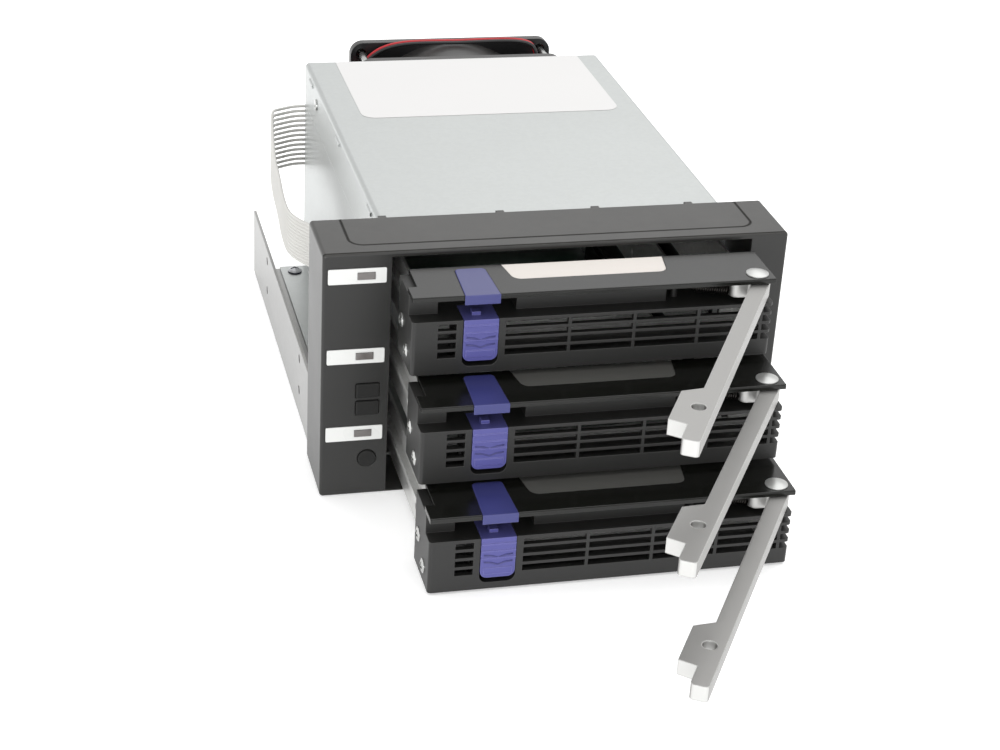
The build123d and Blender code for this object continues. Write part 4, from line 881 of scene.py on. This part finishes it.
class CAGE_OT_ribbon(bpy.types.Operator):
    """Ribbon cable: round wires joined by a thin skin until they fan out to the plug"""
    bl_idname = "cage.ribbon"
    bl_label = "Ribbon cable"

    def execute(self, context):
        tints, details, _ = settings()
        cover = finish(
            "Ribbon insulation", tints.ribbon, rough=(0.38, 0.48), edge_radius=0.1, grain=0.5,
            grain_depth=0.004, drift=0.04, drift_size=20.0,
        )
        plan = route_points(RIBBON_PLAN)
        shape = bmesh.new()
        radius = details.conductor / 2
        for way in range(RIBBON_WAYS):
            points = [Vector((p.x, p.y, conductor_height(p.y / MM, way) * MM)) for p in plan]
            tube(shape, points, (radius * WIRE_WIDTH_SHARE, radius), sides=10)
        for way in range(RIBBON_WAYS - 1):
            rows = []
            for index, point in enumerate(plan):
                if point.y / MM > RIBBON_SPLIT:
                    continue
                after = plan[min(index + 1, len(plan) - 1)]
                before = plan[max(index - 1, 0)]
                along = (after - before).normalized()
                out = Vector((along.y, -along.x, 0)) * details.web / 2
                low = conductor_height(point.y / MM, way) * MM
                high = conductor_height(point.y / MM, way + 1) * MM
                rows.append([
                    shape.verts.new((point.x + side * out.x, point.y + side * out.y, z))
                    for side, z in ((1, low), (1, high), (-1, high), (-1, low))
                ])
            for first, second in zip(rows, rows[1:]):
                for turn in range(4):
                    follow = (turn + 1) % 4
                    shape.faces.new((first[turn], first[follow], second[follow], second[turn]))
            shape.faces.new(rows[0])
            shape.faces.new(rows[-1])
        ribbon = mesh_piece("ribbon_wires", shape, cover, "cage")
        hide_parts("ribbon_cable")
        return {"FINISHED"}


class CAGE_OT_springs(bpy.types.Operator):
    """Wound lever springs with a loop round the post, stretched by the lever's lobe"""
    bl_idname = "cage.springs"
    bl_label = "Lever springs"

    def execute(self, context):
        _, details, _ = settings()
        wire = finish(
            "Dark spring wire", srgb(52, 50, 48), rough=(0.24, 0.34), metallic=0.9,
            edge_radius=0.05, grain=0.3, grain_depth=0.003, drift=0.1, drift_size=4.0,
        )
        for tray in TRAYS:
            shape = bmesh.new()
            post, end = tray_point(tray, POST), tray_point(tray, COIL_END)
            along = (end - post).normalized()
            start = post + along * ((COIL_START_X - POST.x) * MM)
            side = along.cross(Vector((0, 0, 1))).normalized()
            lift = side.cross(along)
            reach = details.coil - details.wire / 2
            loop = LOOP_RADIUS * MM
            points = []
            for step in range(LOOP_STEPS):
                angle = math.radians(LOOP_START - step * LOOP_TURN)
                across = side * (loop * math.sin(angle))
                points.append(post + along * (-loop * math.cos(angle)) + across)
            # the arm between the loop and the coil
            points.append(start - along * 0.8 * MM + side * reach * 0.4)
            steps = details.turns * COIL_STEPS
            for step in range(steps + 1):
                angle = 2 * math.pi * step / COIL_STEPS
                centre = start + (end - start) * (step / steps)
                across = side * reach * math.cos(angle)
                points.append(centre + across + lift * reach * math.sin(angle))
            # the wire's end, which lies on the lever's lobe
            points.append(end + along * 0.25 * MM)
            tube(shape, points, (details.wire / 2, details.wire / 2), sides=6)
            spring = mesh_piece(f"tray_{tray}_wound_spring", shape, wire, None)
            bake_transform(spring)
            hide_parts(f"tray_{tray}_spring")
        return {"FINISHED"}


class CAGE_OT_label(bpy.types.Operator):
    """Bare label on top of the cover, with its front corners rounded"""
    bl_idname = "cage.label"
    bl_label = "Cover label"

    def execute(self, context):
        tints, details, _ = settings()
        paper = finish(
            "Bare cover label", tints.label, rough=(0.36, 0.46), edge=srgb(210, 208, 204),
            edge_share=0.4, edge_radius=0.1, grain=0.4, grain_depth=0.004, drift=0.015,
        )
        sides = [value * MM for value in LABEL_SIDES]
        outline = front_rounded(*sides, details.label_corner)
        shape = bmesh.new()
        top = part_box("cage_cover")[1][2]
        plate(shape, outline, top + LABEL_LIFT * MM, top + details.label_thickness)
        label = mesh_piece("cover_label", shape, paper, "cage")
        label.data.shade_flat()
        return {"FINISHED"}


class CAGE_OT_stage(bpy.types.Operator):
    """Camera at the photographed view, pale floor and soft studio light"""
    bl_idname = "cage.stage"
    bl_label = "Studio"

    def execute(self, context):
        _, _, studio = settings()
        scene = context.scene
        data = bpy.data.cameras.new("view")
        data.lens = studio.lens
        data.sensor_width = 36.0
        data.clip_start = 0.01
        data.clip_end = 50.0
        camera = bpy.data.objects.new("view", data)
        forward = CAMERA_FORWARD.normalized()
        right = (CAMERA_RIGHT - forward * CAMERA_RIGHT.dot(forward)).normalized()
        up = right.cross(forward)
        place = Matrix((right, up, -forward)).transposed().to_4x4()
        place.translation = CAMERA_PLACE
        camera.matrix_world = place
        scene.collection.objects.link(camera)
        scene.camera = camera

        shape = bmesh.new()
        bmesh.ops.create_grid(shape, x_segments=8, y_segments=8, size=studio.floor / 2)
        mesh = bpy.data.meshes.new("floor")
        shape.to_mesh(mesh)
        shape.free()
        floor = bpy.data.objects.new("floor", mesh)
        scene.collection.objects.link(floor)
        pale = finish(
            "Pale floor", studio.floor_colour, rough=(0.6, 0.7), grain=2.0, grain_depth=0.0,
            drift=0.01, drift_size=400.0, edge_radius=0.1, specular=0.2,
        )
        glowing = pale.node_tree.nodes["Principled BSDF"]
        glowing.inputs["Emission Color"].default_value = (1.0, 1.0, 1.0, 1.0)
        glowing.inputs["Emission Strength"].default_value = studio.glow
        mesh.materials.append(pale)

        # each light's place, what it points at, its width and height in metres, and its strength
        lights = (
            ("above", (0.5, 0.5, 1.4), (0.0, 0.02, 0.05), 1.4, 1.4, studio.key),
            ("behind", (0.55, 1.95, 1.1), (0.02, 0.02, 0.08), 0.9, 0.5, studio.back),
            ("front", (-0.6, -1.9, 0.3), (0.0, -0.05, 0.04), 1.6, 0.6, studio.fill),
        )
        for name, at, target, width, height, strength in lights:
            lamp = bpy.data.lights.new(name, "AREA")
            lamp.shape = "RECTANGLE"
            lamp.size = width
            lamp.size_y = height
            lamp.energy = strength
            holder = bpy.data.objects.new(name, lamp)
            holder.location = at
            way = Vector(target) - Vector(at)
            holder.rotation_euler = way.to_track_quat("-Z", "Y").to_euler()
            scene.collection.objects.link(holder)
        world = bpy.data.worlds.new("surroundings")
        world.use_nodes = True
        sky = world.node_tree.nodes["Background"]
        sky.inputs["Color"].default_value = (1.0, 1.0, 1.0, 1.0)
        sky.inputs["Strength"].default_value = studio.sky
        scene.world = world
        scene.view_settings.view_transform = "Standard"
        return {"FINISHED"}


class CAGE_PT_dresser(bpy.types.Panel):
    """Lists the drive cage's pieces and their settings"""
    bl_label = "Drive cage"
    bl_idname = "CAGE_PT_dresser"
    bl_space_type = "VIEW_3D"
    bl_region_type = "UI"
    bl_category = "Drive cage"

    def draw(self, context):
        for entry in OPERATORS:
            self.layout.operator(entry.bl_idname)
        for group in settings():
            box = self.layout.box()
            for key in group.__annotations__:
                box.prop(group, key)


OPERATORS = (
    CAGE_OT_stage,
    CAGE_OT_bezel,
    CAGE_OT_sheet,
    CAGE_OT_trays,
    CAGE_OT_levers,
    CAGE_OT_back,
    CAGE_OT_leads,
    CAGE_OT_ribbon,
    CAGE_OT_springs,
    CAGE_OT_label,
)
CLASSES = (CageColours, CageDetails, CageStudio, *OPERATORS, CAGE_PT_dresser)


def register():
    for entry in CLASSES:
        bpy.utils.register_class(entry)
    bpy.types.Scene.cage_colours = bpy.props.PointerProperty(type=CageColours)
    bpy.types.Scene.cage_details = bpy.props.PointerProperty(type=CageDetails)
    bpy.types.Scene.cage_studio = bpy.props.PointerProperty(type=CageStudio)


def unregister():
    del bpy.types.Scene.cage_studio
    del bpy.types.Scene.cage_details
    del bpy.types.Scene.cage_colours
    for entry in reversed(CLASSES):
        bpy.utils.unregister_class(entry)


def main():
    register()
    for operator in OPERATORS:
        group, name = operator.bl_idname.split(".")
        getattr(getattr(bpy.ops, group), name)()


if __name__ == "__main__":
    main()
